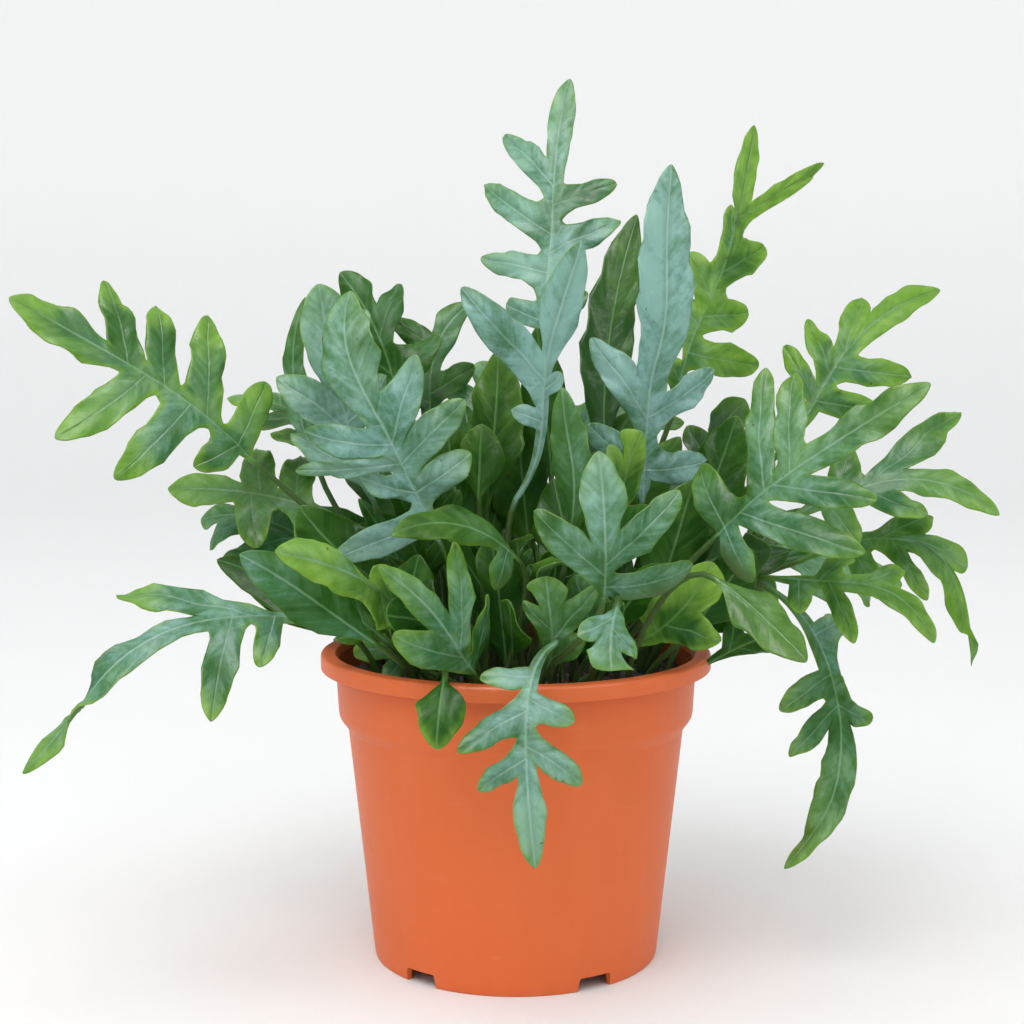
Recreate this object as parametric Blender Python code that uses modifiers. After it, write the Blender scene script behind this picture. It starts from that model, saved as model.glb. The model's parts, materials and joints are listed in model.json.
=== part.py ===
"""Blue star fern growing in a round plastic nursery pot, at real size. Blender 4.5, +Z up.

The origin is on the pot's axis, on the surface that the pot stands on, and -Y is the front.
All numbers are millimetres and degrees. MM turns them into metres where a mesh is made.
Each frond is one sheet with a thickness: its stipe, midrib and lobes share one grid of points.
"""
from math import cos, pi, radians, sin

import bmesh
import bpy
import numpy as np
from mathutils import Matrix

MM = 0.001
GAP = 0.3

# Pot: a 19 cm round nursery pot, so called after its rim.
RIM_RADIUS = 95.0
POT_HEIGHT = 150.0
FOOT_RADIUS = 69.5
WALL = 1.4
LIP_HEIGHT = 7.6
COLLAR_TOP_RADIUS = 87.7
COLLAR_FOOT_RADIUS = 86.4
COLLAR_FOOT = 120.0
STEP_FOOT = 113.2
STEP_RADIUS = 81.8
FLOOR = 7.6
FOOT_WIDTH = 2.6
POT_SIDES = 32
NOTCHES = 5
NOTCH_WIDTH = 18.0
NOTCH_HEIGHT = 6.6
NOTCH_TURN = -58.0
DRAIN_HOLE = 5.0
DRAIN_HOLE_RING = 58.0

# Soil, and the plain holes that the stipes stand in.
SOIL_TOP = 136.0
BURIED = 12.0
HOLE = 2.7

# Fronds.
STIPE = 1.3
STIPE_THICK = 2.6
BLADE_SHARE = 0.3
RUNG = 5.0
CUP = 0.004
WAVE = 1.5
WAVE_LENGTH = 26.0
BARE_FOOT = 2.0
LOBE_END = 0.93
LEAST_WIDTH = 0.6


def smooth(x):
    """Ease from 0 to 1."""
    x = np.clip(x, 0, 1)
    return x * x * (3 - 2 * x)


def unit(v):
    """Vectors of length 1."""
    return v / np.maximum(np.linalg.norm(v, axis=-1, keepdims=True), 1e-12)


def curve_through(points, steps=24):
    """Natural cubic through the points, by chord length; its ends keep their neighbour's curvature."""
    p = np.array(points, float)
    last = len(p) - 1
    h = np.linalg.norm(np.diff(p, axis=0), axis=1)
    knots = np.concatenate([[0], np.cumsum(h)])
    rows = np.eye(last + 1)
    bend = np.zeros_like(p)
    slope = np.diff(p, axis=0) / h[:, None]
    for i in range(1, last):
        rows[i, i - 1:i + 2] = h[i - 1], 2 * (h[i - 1] + h[i]), h[i]
        bend[i] = 6 * (slope[i] - slope[i - 1])
    rows[0, 1] = -1
    rows[last, last - 1] = -1
    m = np.linalg.solve(rows, bend)
    x = np.linspace(0, knots[-1], steps * last + 1)
    i = np.clip(np.searchsorted(knots, x, "right") - 1, 0, last - 1)
    b = (x - knots[i])[:, None]
    span = h[i][:, None]
    a = span - b
    return ((m[i] * a ** 3 + m[i + 1] * b ** 3) / (6 * span)
            + (p[i] / span - m[i] * span / 6) * a
            + (p[i + 1] / span - m[i + 1] * span / 6) * b)


# A blade that doesn't turn about its midrib: (share of the blade, degrees) at its two ends.
FLAT = [(0, 0), (1, 0)]


class Midrib:
    """Line of the stipe and the midrib. u is 0 where the blade starts and negative down the stipe."""

    def __init__(self, root, midrib, face, roll):
        blade = curve_through(midrib)
        foot = np.array([[*root, SOIL_TOP - BURIED], [*root, SOIL_TOP - BURIED / 2], [*root, SOIL_TOP]])
        start = foot[-1] + (0, 0, BARE_FOOT)
        reach = 0.9 * np.linalg.norm(blade[0] - start)
        up = np.array([0, 0, reach])
        out = unit(np.subtract(midrib[1], midrib[0]).astype(float)) * reach
        t = np.linspace(0, 1, 25)[:-1, None]
        stem = ((2 * t ** 3 - 3 * t ** 2 + 1) * start + (t ** 3 - 2 * t ** 2 + t) * up
                + (3 * t ** 2 - 2 * t ** 3) * blade[0] + (t ** 3 - t ** 2) * out)
        self.p = np.concatenate([foot, stem, blade])
        run = np.cumsum(np.linalg.norm(np.diff(self.p, axis=0), axis=1))
        self.u = np.concatenate([[0], run]) - run[len(foot) + len(stem) - 1]
        self.low = self.u[0]
        self.length = self.u[-1]
        self.along = unit(np.gradient(self.p, self.u, axis=0))
        look = unit(np.array(face, float))
        level = unit(look - (self.along @ look)[:, None] * self.along)
        turn = np.radians(np.interp(self.u / self.length, *np.transpose(roll)))[:, None]
        self.up = np.cos(turn) * level + np.sin(turn) * np.cross(self.along, level)
        self.side = np.cross(self.along, self.up)

    def read(self, line, u):
        """The line's value at u."""
        return np.stack([np.interp(u, self.u, line[:, k]) for k in range(3)], -1)

    def place(self, u, v):
        """Point v across from the midrib at u, on a blade cupped by CUP v squared."""
        beyond = np.maximum(u - self.length, 0)[..., None]
        return (self.read(self.p, u) + self.read(self.along, u) * beyond
                + self.read(self.side, u) * v[..., None] - self.read(self.up, u) * (CUP * v * v)[..., None])


class Lobe:
    """One lobe: its vein leaves the midrib at an angle, bends in the blade's plane and droops out of it."""

    def __init__(self, rib, side, share, length, angle, half, bend, droop, twist):
        self.side = side
        self.length = length
        self.half = half
        self.foot = max(RUNG * round(share * rib.length / RUNG), RUNG)
        k = np.linspace(0, 1, 25)
        self.s = k * length
        self.angle = radians(angle) - radians(bend) * k
        sink = radians(droop) * k
        roll = radians(twist) * smooth((k - 0.15) / 0.85)
        step = length / 24
        a = (self.angle[1:] + self.angle[:-1]) / 2
        f = ((sink[1:] + sink[:-1]) / 2)[:, None]
        self.u = self.foot + np.concatenate([[0], np.cumsum(np.cos(a))]) * step
        self.v = np.concatenate([[0], np.cumsum(np.sin(a))]) * step
        c, along, across, up = (rib.read(line, self.foot) for line in (rib.p, rib.along, rib.side, rib.up))
        across = across * side
        way = np.cos(a)[:, None] * along + np.sin(a)[:, None] * across
        run = (np.cos(f) * way - np.sin(f) * up) * step
        self.vein = np.concatenate([[c], c + np.cumsum(run, 0)])
        way = np.cos(self.angle)[:, None] * along + np.sin(self.angle)[:, None] * across
        wide = np.sin(self.angle)[:, None] * along - np.cos(self.angle)[:, None] * across
        top = np.cos(sink)[:, None] * up + np.sin(sink)[:, None] * way
        self.wide = np.cos(roll)[:, None] * wide + np.sin(roll)[:, None] * top
        self.top = np.cos(roll)[:, None] * top - np.sin(roll)[:, None] * wide

    def flat(self, s, r):
        """Blade coordinates of the point s along the vein and r to its upper side."""
        a = np.interp(s, self.s, self.angle)
        return np.interp(s, self.s, self.u) + r * np.sin(a), np.interp(s, self.s, self.v) - r * np.cos(a)

    def local(self, u, v):
        """s and r of a point near the lobe's foot."""
        a = self.angle[0]
        return (u - self.foot) * cos(a) + v * sin(a), (u - self.foot) * sin(a) - v * cos(a)

    def place(self, s, r):
        """Point and upper normal at s along the drooping vein and r across it."""
        vein, wide, top = (np.stack([np.interp(s, self.s, line[:, k]) for k in range(3)], -1)
                           for line in (self.vein, self.wide, self.top))
        return vein + r[..., None] * wide, top


def lobe_half(x):
    """Half-width of a lobe at the share x of its length: narrow at its foot, widest at 0.6, round at its end."""
    body = 0.66 + 0.34 * smooth(x / 0.6)
    return body * np.clip(1 - x ** 3.4, 0, 1) ** 0.62


def tip_half(y, start, half, widest):
    """Half-width of the blade's end at the share y from its last gap."""
    body = start + (half - start) * smooth(y / widest)
    shoulder = widest * 0.6
    return body * np.clip(1 - np.clip((y - shoulder) / (1 - shoulder), 0, 1) ** 2.6, 0, 1) ** 0.68


# Stations along a lobe, and those of them past its foot, where it has to clear its neighbours.
LOBE_PARTS = np.linspace(0, 1, 25)
CLEAR_PARTS = slice(8, 24)


class Blade:
    """The flat plan of one frond: its lobes, the gaps between them and the rungs across its midrib.

    Both sides of the midrib share the rungs, so that their points on it are the same points.
    """

    def __init__(self, number, root, midrib, face, tip, wing, left=(), right=(), widest=0.42, roll=FLAT):
        self.rib = Midrib(root, midrib, face, roll)
        self.tip = tip
        self.wing = wing
        self.widest = widest
        self.number = number
        variety = np.random.default_rng(number)
        self.lobes = {}
        for side, rows in ((-1, left), (1, right)):
            found = [Lobe(self.rib, side, *row, *variety.normal((4, 24, 0), (7, 8, 9))) for row in rows]
            self.lobes[side] = sorted(found, key=lambda lobe: lobe.foot)
            for a, b in zip(self.lobes[side], self.lobes[side][1:]):
                share = self.room(a, b.vein, b.half * lobe_half(LOBE_PARTS))
                a.half *= share
                b.half *= share
        self.gaps = {side: self.find_gaps(self.lobes[side]) for side in (-1, 1)}
        for side in (-1, 1):
            if self.lobes[side]:
                last = self.lobes[side][-1]
                y = np.linspace(0, 1, 25)
                end = self.rib.read(self.rib.p, self.gaps[side][-1] * (1 - y) + self.rib.length * y)
                last.half *= self.room(last, end, tip_half(y, wing, tip, widest))

    @staticmethod
    def room(lobe, line, halves):
        """The share of its width that a lobe may keep beside a line with half-widths of its own."""
        apart = np.linalg.norm(lobe.vein[CLEAR_PARTS, None] - line[CLEAR_PARTS], axis=2)
        wanted = (lobe.half * lobe_half(LOBE_PARTS))[CLEAR_PARTS, None] + halves[CLEAR_PARTS]
        return np.clip((apart / wanted).min(), LEAST_WIDTH, 1)

    def find_gaps(self, lobes):
        """Where the gaps between one side's lobes stand on the midrib."""
        if not lobes:
            return [0.0]
        first, last = lobes[0], lobes[-1]
        low = first.foot - 0.85 * first.half / sin(first.angle[0])
        gaps = [self.rung(low, 0, first.foot - RUNG)]
        for a, b in zip(lobes, lobes[1:]):
            middle = a.foot + (b.foot - a.foot) * a.half / (a.half + b.half)
            gaps.append(self.rung(middle, a.foot + RUNG, b.foot - RUNG))
        high = last.foot + 0.95 * last.half / sin(last.angle[0])
        gaps.append(self.rung(high, last.foot + RUNG, self.rib.length * 0.93))
        return gaps

    @staticmethod
    def rung(u, low, high):
        """The nearest rung between two limits."""
        return round(min(max(RUNG * round(u / RUNG), low), high), 3)

    def wing_at(self, u):
        """Half-width of the green wing along the midrib. It narrows to the blade's base."""
        return self.wing * (0.45 + 0.55 * smooth(u / (0.45 * self.rib.length)))

    def rungs(self, stipe_steps, tip_steps):
        """Stations on the midrib: down the stipe, at every lobe and gap, and up to the tip."""
        marks = {0.0, round(self.rib.low + BURIED, 3)}
        marks.update(np.round(self.rib.low * np.arange(1, stipe_steps + 1) / stipe_steps, 3))
        for side in (-1, 1):
            if self.lobes[side]:
                marks.update(self.gaps[side])
                marks.update(lobe.foot for lobe in self.lobes[side])
        start = max(gaps[-1] for gaps in self.gaps.values())
        self.end = self.rib.length - 0.05 * (self.rib.length - start) - 1
        marks.update(np.round(np.linspace(start, self.end, tip_steps + 1), 3))
        return np.array(sorted(marks))


def side_columns(blade, side, rungs, edge_shares, vein_shares):
    """Columns from vein to margin on one side of a blade, in order from the stipe's foot to the tip.

    Each row: vein u, v; margin u, v; lobe number or -1; and s, r of both ends in that lobe.
    """
    rib, lobes, gaps = blade.rib, blade.lobes[side], blade.gaps[side]
    rows = []
    shift = blade.wing_at(gaps[0]) / np.tan(lobes[0].angle[0]) if lobes else 0.0
    for u in rungs[rungs <= gaps[0]]:
        rise = smooth(u / gaps[0]) if gaps[0] > 0 else 0.0
        width = STIPE + (blade.wing_at(gaps[0]) - STIPE) * rise if lobes else STIPE
        rows.append((u, 0, u + shift * rise, width, -1, 0, 0, 0, 0))
    for number, lobe in enumerate(lobes):
        for low in (True, False):
            gap = gaps[number] if low else gaps[number + 1]
            beside = number - 1 if low else number + 1
            other = lobes[beside] if 0 <= beside < len(lobes) else lobe
            wing = blade.wing_at(gap)
            corner_u = gap + wing / np.tan((lobe.angle[0] + other.angle[0]) / 2)
            corner_s, corner_r = lobe.local(corner_u, wing)
            start = np.clip(max(corner_s, wing) / lobe.length, 0.08, 0.5)
            free = start + 0.10 * (1 - start)
            way = -1 if low else 1

            def margin(x):
                """s and r of the margin at the share x, eased out of the gap's round corner."""
                ease = 1 - (1 - np.clip((x - start) / (0.4 * (1 - start)), 0, 1)) ** 3
                return (corner_s + (x * lobe.length - corner_s) * ease,
                        corner_r + (way * lobe.half * lobe_half(x) - corner_r) * ease)

            if low:
                between = rungs[(rungs > gap) & (rungs <= lobe.foot)]
            else:
                between = rungs[(rungs >= lobe.foot) & (rungs < gap)][::-1]
            column = []
            for u in between:
                share = (u - gap) / (lobe.foot - gap)
                s, r = margin(start + (free - start) * share)
                there = smooth(0.1 + 0.9 * share) if share < 1 else 1.0
                out_u, out_v = lobe.flat(s, r)
                column.append((u, 0, corner_u + (out_u - corner_u) * there, wing + (out_v - wing) * there,
                               number, *lobe.local(u, 0), s, r))
            for vein_share, edge_share in zip(vein_shares, edge_shares):
                along = LOBE_END * lobe.length * vein_share
                s, r = margin(free + (1 - free) * edge_share)
                column.append((*lobe.flat(along, 0), *lobe.flat(s, r), number, along, 0, s, r))
            if low:
                along = LOBE_END * lobe.length
                column.append((*lobe.flat(along, 0), *lobe.flat(lobe.length, 0), number, along, 0, lobe.length, 0))
            rows += column if low else column[::-1]
        gap = gaps[number + 1]
        wing = blade.wing_at(gap)
        other = lobes[min(number + 1, len(lobes) - 1)]
        rows.append((gap, 0, gap + wing / np.tan((lobe.angle[0] + other.angle[0]) / 2), wing, -1, 0, 0, 0, 0))
    start = gaps[-1]
    width = blade.wing_at(start) if lobes else STIPE
    shift = width / np.tan(lobes[-1].angle[0]) if lobes else 0.0
    for u in rungs[(rungs > start) & (rungs < blade.end - 0.01)]:
        y = (u - start) / (blade.end - start)
        rows.append((u, 0, start + shift + (rib.length - start - shift) * y,
                     tip_half(y, width, blade.tip, blade.widest), -1, 0, 0, 0, 0))
    rows.append((rungs[-1], 0, rib.length, 0, -1, 0, 0, 0, 0))
    return np.array(rows, float)


def frond_sheet(blade, steps, stipe_steps, tip_steps, edge_shares, vein_shares):
    """The frond as an open sheet: points, four-sided faces and each point's share of STIPE_THICK.

    A point is vein + t (margin - vein) in the flat plan, with t from 0 to 1 in the given steps. It is laid
    on the midrib's curved and cupped blade, and past the wing it passes over to its lobe's own drooping
    surface. The margin waves by a sine of its length, growing with t squared.
    """
    rib = blade.rib
    t = np.linspace(0, 1, steps + 1)
    rungs = blade.rungs(stipe_steps, tip_steps)
    points, faces, shares = [], [], []
    first = 0
    for side in (-1, 1):
        c = side_columns(blade, side, rungs, edge_shares, vein_shares)
        u, v, s, r = (c[:, [a]] + (c[:, [b]] - c[:, [a]]) * t for a, b in ((0, 2), (1, 3), (5, 7), (6, 8)))
        place = rib.place(u, v * side)
        normal = rib.read(rib.up, u)
        for number, lobe in enumerate(blade.lobes[side]):
            own = c[:, 4] == number
            there, top = lobe.place(s[own], r[own])
            far = smooth((v[own] - blade.wing_at(lobe.foot)) / (0.3 * lobe.length))[..., None]
            place[own] += (there - place[own]) * far
            normal[own] = unit(normal[own] + (top - normal[own]) * far)
        edge = np.concatenate([[0], np.cumsum(np.hypot(np.diff(c[:, 2]), np.diff(c[:, 3])))])
        start = blade.number * 1.7 + side * 0.8
        wave = WAVE * np.sin(edge / WAVE_LENGTH * 2 * pi + start + 1.3 * np.sin(edge / 71 + start))
        wave = wave * smooth(c[:, 2] / 12) * (1 - 0.5 * (c[:, 8] == 0) * (c[:, 4] >= 0))
        place += normal * (wave[:, None] * t ** 2 * smooth((np.abs(v) - 2) / 8))[..., None]
        cell = first + np.arange(u.size).reshape(u.shape)
        quads = np.stack([cell[:-1, :-1], cell[1:, :-1], cell[1:, 1:], cell[:-1, 1:]], -1).reshape(-1, 4)
        centre = np.where(v > 0, 0, np.where(u > 0, BLADE_SHARE + 0.7 * np.clip(1 - u / rib.length, 0, 1) ** 1.5, 1))
        stalk = np.where(u > 0, BLADE_SHARE, 1 - 0.45 * t)
        points.append(place.reshape(-1, 3))
        faces.append(quads if side > 0 else quads[:, ::-1])
        shares.append(np.maximum(centre, stalk).ravel())
        first += u.size
    return np.concatenate(points), np.concatenate(faces), np.concatenate(shares)


# Each frond: root is where its stipe leaves the soil, (x, y). midrib is the points that its blade's midrib
# passes through, (x, y, z), from the base of the blade to its tip. face is the way the upper face looks. tip
# and wing are the half-widths of the blade's end and of its narrow part. Each lobe of the left and right
# side is (share of the midrib where it leaves, length, angle, half-width). roll turns the blade about its
# midrib, as (share of the blade, degrees).
FRONDS = {
    "left_fan": dict(root=(-48, -12), face=(0.1, -0.8, 0.6), tip=11, wing=6,
        midrib=[(-126, -15, 244), (-160, -32, 277), (-188, -45, 296), (-227, -60, 320)],
        left=[(0.08, 24, 70, 8), (0.31, 52, 80, 10), (0.5, 53, 70, 9.5)],
        right=[(0.07, 40, 80, 9), (0.22, 57, 60, 9.5), (0.42, 44, 65, 9), (0.57, 48, 65, 9)]),
    "left_behind": dict(root=(-40, 8), face=(-0.1, -0.7, 0.7), tip=11, wing=6,
        midrib=[(-83, 0, 209), (-111, 14, 221), (-137, 22, 225), (-174, 30, 226)],
        left=[(0.27, 32, 135, 9), (0.56, 30, 110, 9.5)],
        right=[(0.28, 42, 60, 9.5), (0.5, 40, 65, 9.5)]),
    "left_drooping": dict(root=(-64, -38), face=(-0.2, -0.75, 0.65), tip=9, wing=6, widest=0.6,
        roll=[(0.66, 0), (0.77, 70), (0.9, 0)],
        midrib=[(-91, -62, 174), (-124, -78, 178), (-147, -92, 176), (-174, -108, 161),
                (-189, -116, 142), (-210, -122, 118)],
        left=[(0.13, 27, 70, 6.5), (0.26, 51, 60, 8.5)],
        right=[(0.2, 63, 28, 8.5)]),
    "front_left_plain": dict(root=(-46, -58), face=(-0.15, -0.95, 0.25), tip=13, wing=8,
        midrib=[(-63, -84, 168), (-81, -89, 182), (-100, -96, 197), (-119, -104, 210)]),
    "front_left_crinkled": dict(root=(-18, -62), face=(-0.05, -0.95, 0.35), tip=9.5, wing=8, widest=0.3,
        midrib=[(-48, -86, 180), (-69, -104, 200), (-84, -116, 208), (-101, -126, 214)],
        left=[(0.27, 20, 145, 9)],
        right=[(0.16, 20, 25, 8)]),
    "centre_left_tall": dict(root=(-16, -40), face=(-0.35, -0.85, 0.4), tip=14, wing=7,
        midrib=[(-35, -52, 210), (-40, -54, 221), (-50, -58, 242), (-59, -62, 261), (-68, -62, 278),
                (-76, -60, 299), (-74, -56, 323)],
        left=[(0.08, 52, 90, 8.5), (0.2, 30, 60, 9), (0.31, 52, 75, 8.5), (0.42, 43, 70, 10)],
        right=[(0.2, 31, 80, 9), (0.31, 41, 65, 9), (0.42, 42, 40, 8.5)]),
    "left_of_centre_broad": dict(root=(-26, 0), face=(0.3, -0.85, 0.4), tip=13, wing=7,
        midrib=[(-69, -5, 224), (-81, -12, 263), (-88, -16, 296), (-93, -16, 327)],
        left=[(0.14, 39, 45, 9), (0.33, 44, 35, 9.5)],
        right=[(0.39, 35, 70, 8.5), (0.61, 36, 50, 9)]),
    "upper_left_dark": dict(root=(-14, 22), face=(-0.45, -0.7, 0.5), tip=9, wing=6,
        midrib=[(-48, 25, 236), (-59, 32, 275), (-70, 42, 305), (-89, 54, 334)],
        left=[(0.21, 34, 40, 8.5), (0.47, 34, 35, 8)],
        right=[(0.4, 33, 60, 8.5), (0.62, 30, 40, 8)]),
    "upper_left_thin": dict(root=(-4, 34), face=(0.35, -0.75, 0.55), tip=8, wing=5,
        midrib=[(-38, 45, 229), (-44, 54, 269), (-41, 62, 296), (-24, 74, 318)],
        left=[(0.41, 22, 60, 7.5), (0.69, 28, 80, 7)],
        right=[(0.47, 35, 55, 7.5)]),
    "centre_plain": dict(root=(-8, -8), face=(-0.35, -0.85, 0.4), tip=15.5, wing=8,
        midrib=[(-14, -12, 222), (-11, -10, 248), (-9, -8, 272), (-8, -4, 296)]),
    "centre_forked": dict(root=(4, -28), face=(0.25, -0.9, 0.35), tip=10, wing=3,
        midrib=[(0, -34, 227), (10, -38, 249), (13, -46, 285), (21, -56, 319), (29, -62, 345)],
        left=[(0.3, 15, 70, 5), (0.48, 57, 48, 9.5)],
        right=[(0.42, 11, 55, 5)]),
    "top": dict(root=(10, 30), face=(-0.3, -0.85, 0.4), tip=7.5, wing=5, widest=0.6,
        midrib=[(9, 34, 260), (13, 40, 305), (18, 50, 353), (21, 62, 396), (28, 76, 433)],
        left=[(0.29, 26, 70, 7), (0.41, 41, 78, 7.5), (0.53, 54, 58, 8), (0.66, 50, 40, 7.5)],
        right=[(0.29, 27, 55, 7), (0.46, 40, 62, 7.5), (0.61, 34, 70, 7.5)]),
    "top_plain": dict(root=(22, 6), face=(0.45, -0.85, 0.3), tip=14.5, wing=7,
        midrib=[(44, 12, 237), (43, 16, 271), (47, 24, 310), (60, 36, 362)]),
    "right_of_centre_tall": dict(root=(18, -18), face=(0.3, -0.92, 0.25), tip=14, wing=9,
        midrib=[(60, -20, 225), (61, -24, 260), (63, -28, 282), (68, -33, 305), (69, -36, 342),
                (71, -34, 381)],
        left=[(0.11, 37, 60, 8), (0.25, 46, 38, 8)],
        right=[(0.11, 38, 95, 8.5), (0.25, 44, 65, 8.5)]),
    "centre_bright": dict(root=(26, -34), face=(0.35, -0.8, 0.5), tip=9, wing=5,
        midrib=[(48, -40, 218), (50, -42, 237), (53, -43, 248), (58, -43, 259)],
        left=[(0.31, 21, 30, 6)]),
    "centre_narrow": dict(root=(8, -52), face=(-0.35, -0.85, 0.4), tip=10, wing=6,
        midrib=[(25, -56, 215), (26, -60, 243), (23, -62, 261), (21, -62, 280)]),
    "front_star": dict(root=(10, -70), face=(0.15, -0.85, 0.5), tip=10, wing=7,
        midrib=[(37, -118, 194), (37, -126, 217), (34, -126, 256)],
        left=[(0.15, 42, 45, 8.5)],
        right=[(0.08, 48, 100, 8.5), (0.23, 45, 56, 8.5)]),
    "front_folded": dict(root=(33, -70), face=(-0.1, -0.8, 0.6), tip=9, wing=9,
        midrib=[(42, -130, 190), (39, -140, 179), (39, -146, 167)],
        left=[(0.3, 17, 45, 7)],
        right=[(0.23, 17, 50, 7)]),
    "upper_right": dict(root=(34, 24), face=(0.45, -0.8, 0.4), tip=6, wing=6,
        midrib=[(80, 30, 270), (88, 36, 300), (102, 44, 330), (114, 56, 370), (122, 70, 409)],
        left=[(0.08, 13, 45, 7.5), (0.25, 19, 65, 8), (0.36, 26, 50, 8.5), (0.58, 16, 30, 4.5)],
        right=[(0.17, 46, 80, 9.5), (0.3, 30, 60, 9.5), (0.46, 34, 40, 9), (0.65, 71, 45, 5)]),
    "right_high": dict(root=(52, 18), face=(0.15, -0.8, 0.55), tip=8, wing=6,
        midrib=[(131, 20, 246), (149, 24, 271), (160, 30, 289), (183, 42, 311), (216, 56, 325)],
        left=[(0.25, 35, 55, 6), (0.35, 34, 45, 6.5), (0.46, 34, 25, 6.5)],
        right=[(0.24, 33, 70, 8), (0.38, 41, 65, 8)]),
    "right_broad": dict(root=(46, -44), face=(0.1, -0.8, 0.6), tip=9.5, wing=7, widest=0.5,
        midrib=[(92, -58, 213), (110, -66, 232), (134, -80, 252), (178, -98, 283)],
        left=[(0.05, 37, 78, 10), (0.24, 62, 68, 9), (0.4, 50, 66, 9.5)],
        right=[(0.01, 28, 115, 7.5), (0.13, 60, 58, 9), (0.3, 48, 40, 8)]),
    "front_right_plain": dict(root=(50, -60), face=(0.2, -0.8, 0.55), tip=11.5, wing=7,
        midrib=[(87, -98, 198), (100, -108, 188), (112, -118, 177), (122, -126, 167)]),
    "right_far": dict(root=(62, -10), face=(0.2, -0.8, 0.6), tip=8, wing=6,
        midrib=[(130, -20, 216), (157, -28, 230), (184, -34, 236), (224, -40, 220)],
        left=[(0.25, 28, 60, 8), (0.36, 66, 36, 7.5)],
        right=[(0.21, 26, 80, 8), (0.34, 35, 35, 7.5)]),
    "right_ragged": dict(root=(66, -2), face=(0.25, -0.75, 0.6), tip=9, wing=6,
        midrib=[(138, -4, 194), (170, -10, 205), (193, -16, 203), (212, -24, 162)],
        left=[(0.37, 31, 40, 7), (0.48, 33, 10, 7.5)],
        right=[(0.23, 33, 75, 7), (0.44, 35, 60, 5.5)]),
    "right_low": dict(root=(62, -20), face=(0.2, -0.75, 0.6), tip=7, wing=5,
        midrib=[(119, -34, 190), (144, -50, 190), (165, -64, 189), (186, -80, 167)],
        left=[(0.25, 25, 75, 6), (0.5, 22, 45, 6)],
        right=[(0.16, 19, 75, 6), (0.33, 36, 55, 5.5)]),
    "right_hanging": dict(root=(70, -33), face=(0.3, -0.8, 0.4), tip=8.5, wing=6, widest=0.3,
        roll=[(0.5, 0), (0.62, 30), (0.72, 0), (0.88, 65), (1, 30)],
        midrib=[(120, -30, 184), (136, -32, 169), (150, -34, 137), (153, -34, 98), (128, -34, 50)],
        left=[(0.21, 22, 85, 7), (0.42, 23, 50, 6)],
        right=[(0.32, 31, 80, 7), (0.42, 34, 60, 6)]),
    "front_drooping": dict(root=(4, -76), face=(0.02, -0.97, 0.25), tip=7, wing=4,
        midrib=[(17, -98, 170), (8, -114, 162), (4, -128, 136), (5, -130, 109), (8, -126, 78)],
        left=[(0.3, 22, 65, 6), (0.5, 31, 62, 6.5)],
        right=[(0.22, 22, 75, 6), (0.38, 34, 60, 6.5), (0.55, 26, 62, 5.5)]),
    "front_rim": dict(root=(-18, -75), face=(-0.1, -0.85, 0.5), tip=6.5, wing=6,
        midrib=[(-19, -86, 155), (-25, -100, 167), (-33, -112, 182), (-58, -122, 207)],
        left=[(0.2, 38, 35, 9.5)],
        right=[(0.08, 34, 75, 7), (0.28, 50, 35, 7)]),
    "front_arched": dict(root=(-6, -60), face=(-0.05, -0.8, 0.6), tip=9.5, wing=6,
        midrib=[(-1, -66, 204), (-21, -76, 218), (-38, -86, 221), (-54, -96, 217)],
        left=[(0.03, 19, 110, 6.5)]),
    "front_small": dict(root=(-3, -54), face=(0, -0.85, 0.5), tip=9, wing=7,
        midrib=[(13, -70, 150), (16, -76, 164), (15, -80, 180), (13, -80, 197)],
        left=[(0.49, 18, 40, 7)],
        right=[(0.18, 19, 45, 7.5), (0.4, 32, 45, 8)]),
    "front_right_bright": dict(root=(36, -54), face=(0.2, -0.8, 0.6), tip=11, wing=8,
        midrib=[(53, -58, 162), (65, -64, 170), (78, -68, 184), (88, -68, 202)],
        left=[(0.29, 27, 85, 8.5)],
        right=[(0.37, 26, 55, 8.5)]),
    "back_right_inner": dict(root=(40, 50), face=(0.2, -0.7, 0.6), tip=10, wing=6,
        midrib=[(95, 58, 228), (106, 64, 253), (119, 68, 269)],
        left=[(0.23, 22, 45, 7.5)],
        right=[(0.27, 25, 45, 8)]),
    "front_rim_plain": dict(root=(-36, -62), face=(-0.2, -0.9, 0.3), tip=11, wing=6,
        midrib=[(-31, -106, 155), (-32, -115, 149), (-33, -119, 141), (-34, -119, 128)]),
    "rim_left_small": dict(root=(-44, -32), face=(0, -0.6, 0.8), tip=8, wing=5,
        midrib=[(-46, -26, 146), (-56, -28, 152), (-66, -30, 155), (-76, -32, 152)],
        left=[(0.27, 18, 80, 6.5)],
        right=[(0.34, 17, 55, 6.5)]),
    "left_narrow": dict(root=(-46, 14), face=(-0.5, -0.75, 0.4), tip=7, wing=5,
        midrib=[(-96, 6, 237), (-105, 8, 266), (-108, 10, 291), (-102, 12, 321)]),
    "inner_left": dict(root=(-28, -28), face=(-0.3, -0.85, 0.45), tip=17, wing=8,
        midrib=[(-52, -30, 179), (-78, -34, 198), (-101, -36, 224)]),
    "inner_centre_left": dict(root=(-10, -22), face=(0.35, -0.85, 0.4), tip=17, wing=8,
        midrib=[(-22, -24, 197), (-29, -22, 230), (-33, -18, 265)]),
    "inner_centre": dict(root=(16, -36), face=(-0.3, -0.9, 0.35), tip=17, wing=8,
        midrib=[(31, -32, 179), (24, -32, 208), (18, -28, 236)]),
    "inner_right": dict(root=(36, -38), face=(0.3, -0.85, 0.4), tip=17, wing=8,
        midrib=[(65, -38, 178), (74, -38, 207), (82, -38, 236)]),
    "inner_behind": dict(root=(4, 12), face=(0.4, -0.8, 0.4), tip=17, wing=8,
        midrib=[(7, 14, 192), (3, 12, 232), (0, 12, 271)]),
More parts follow.
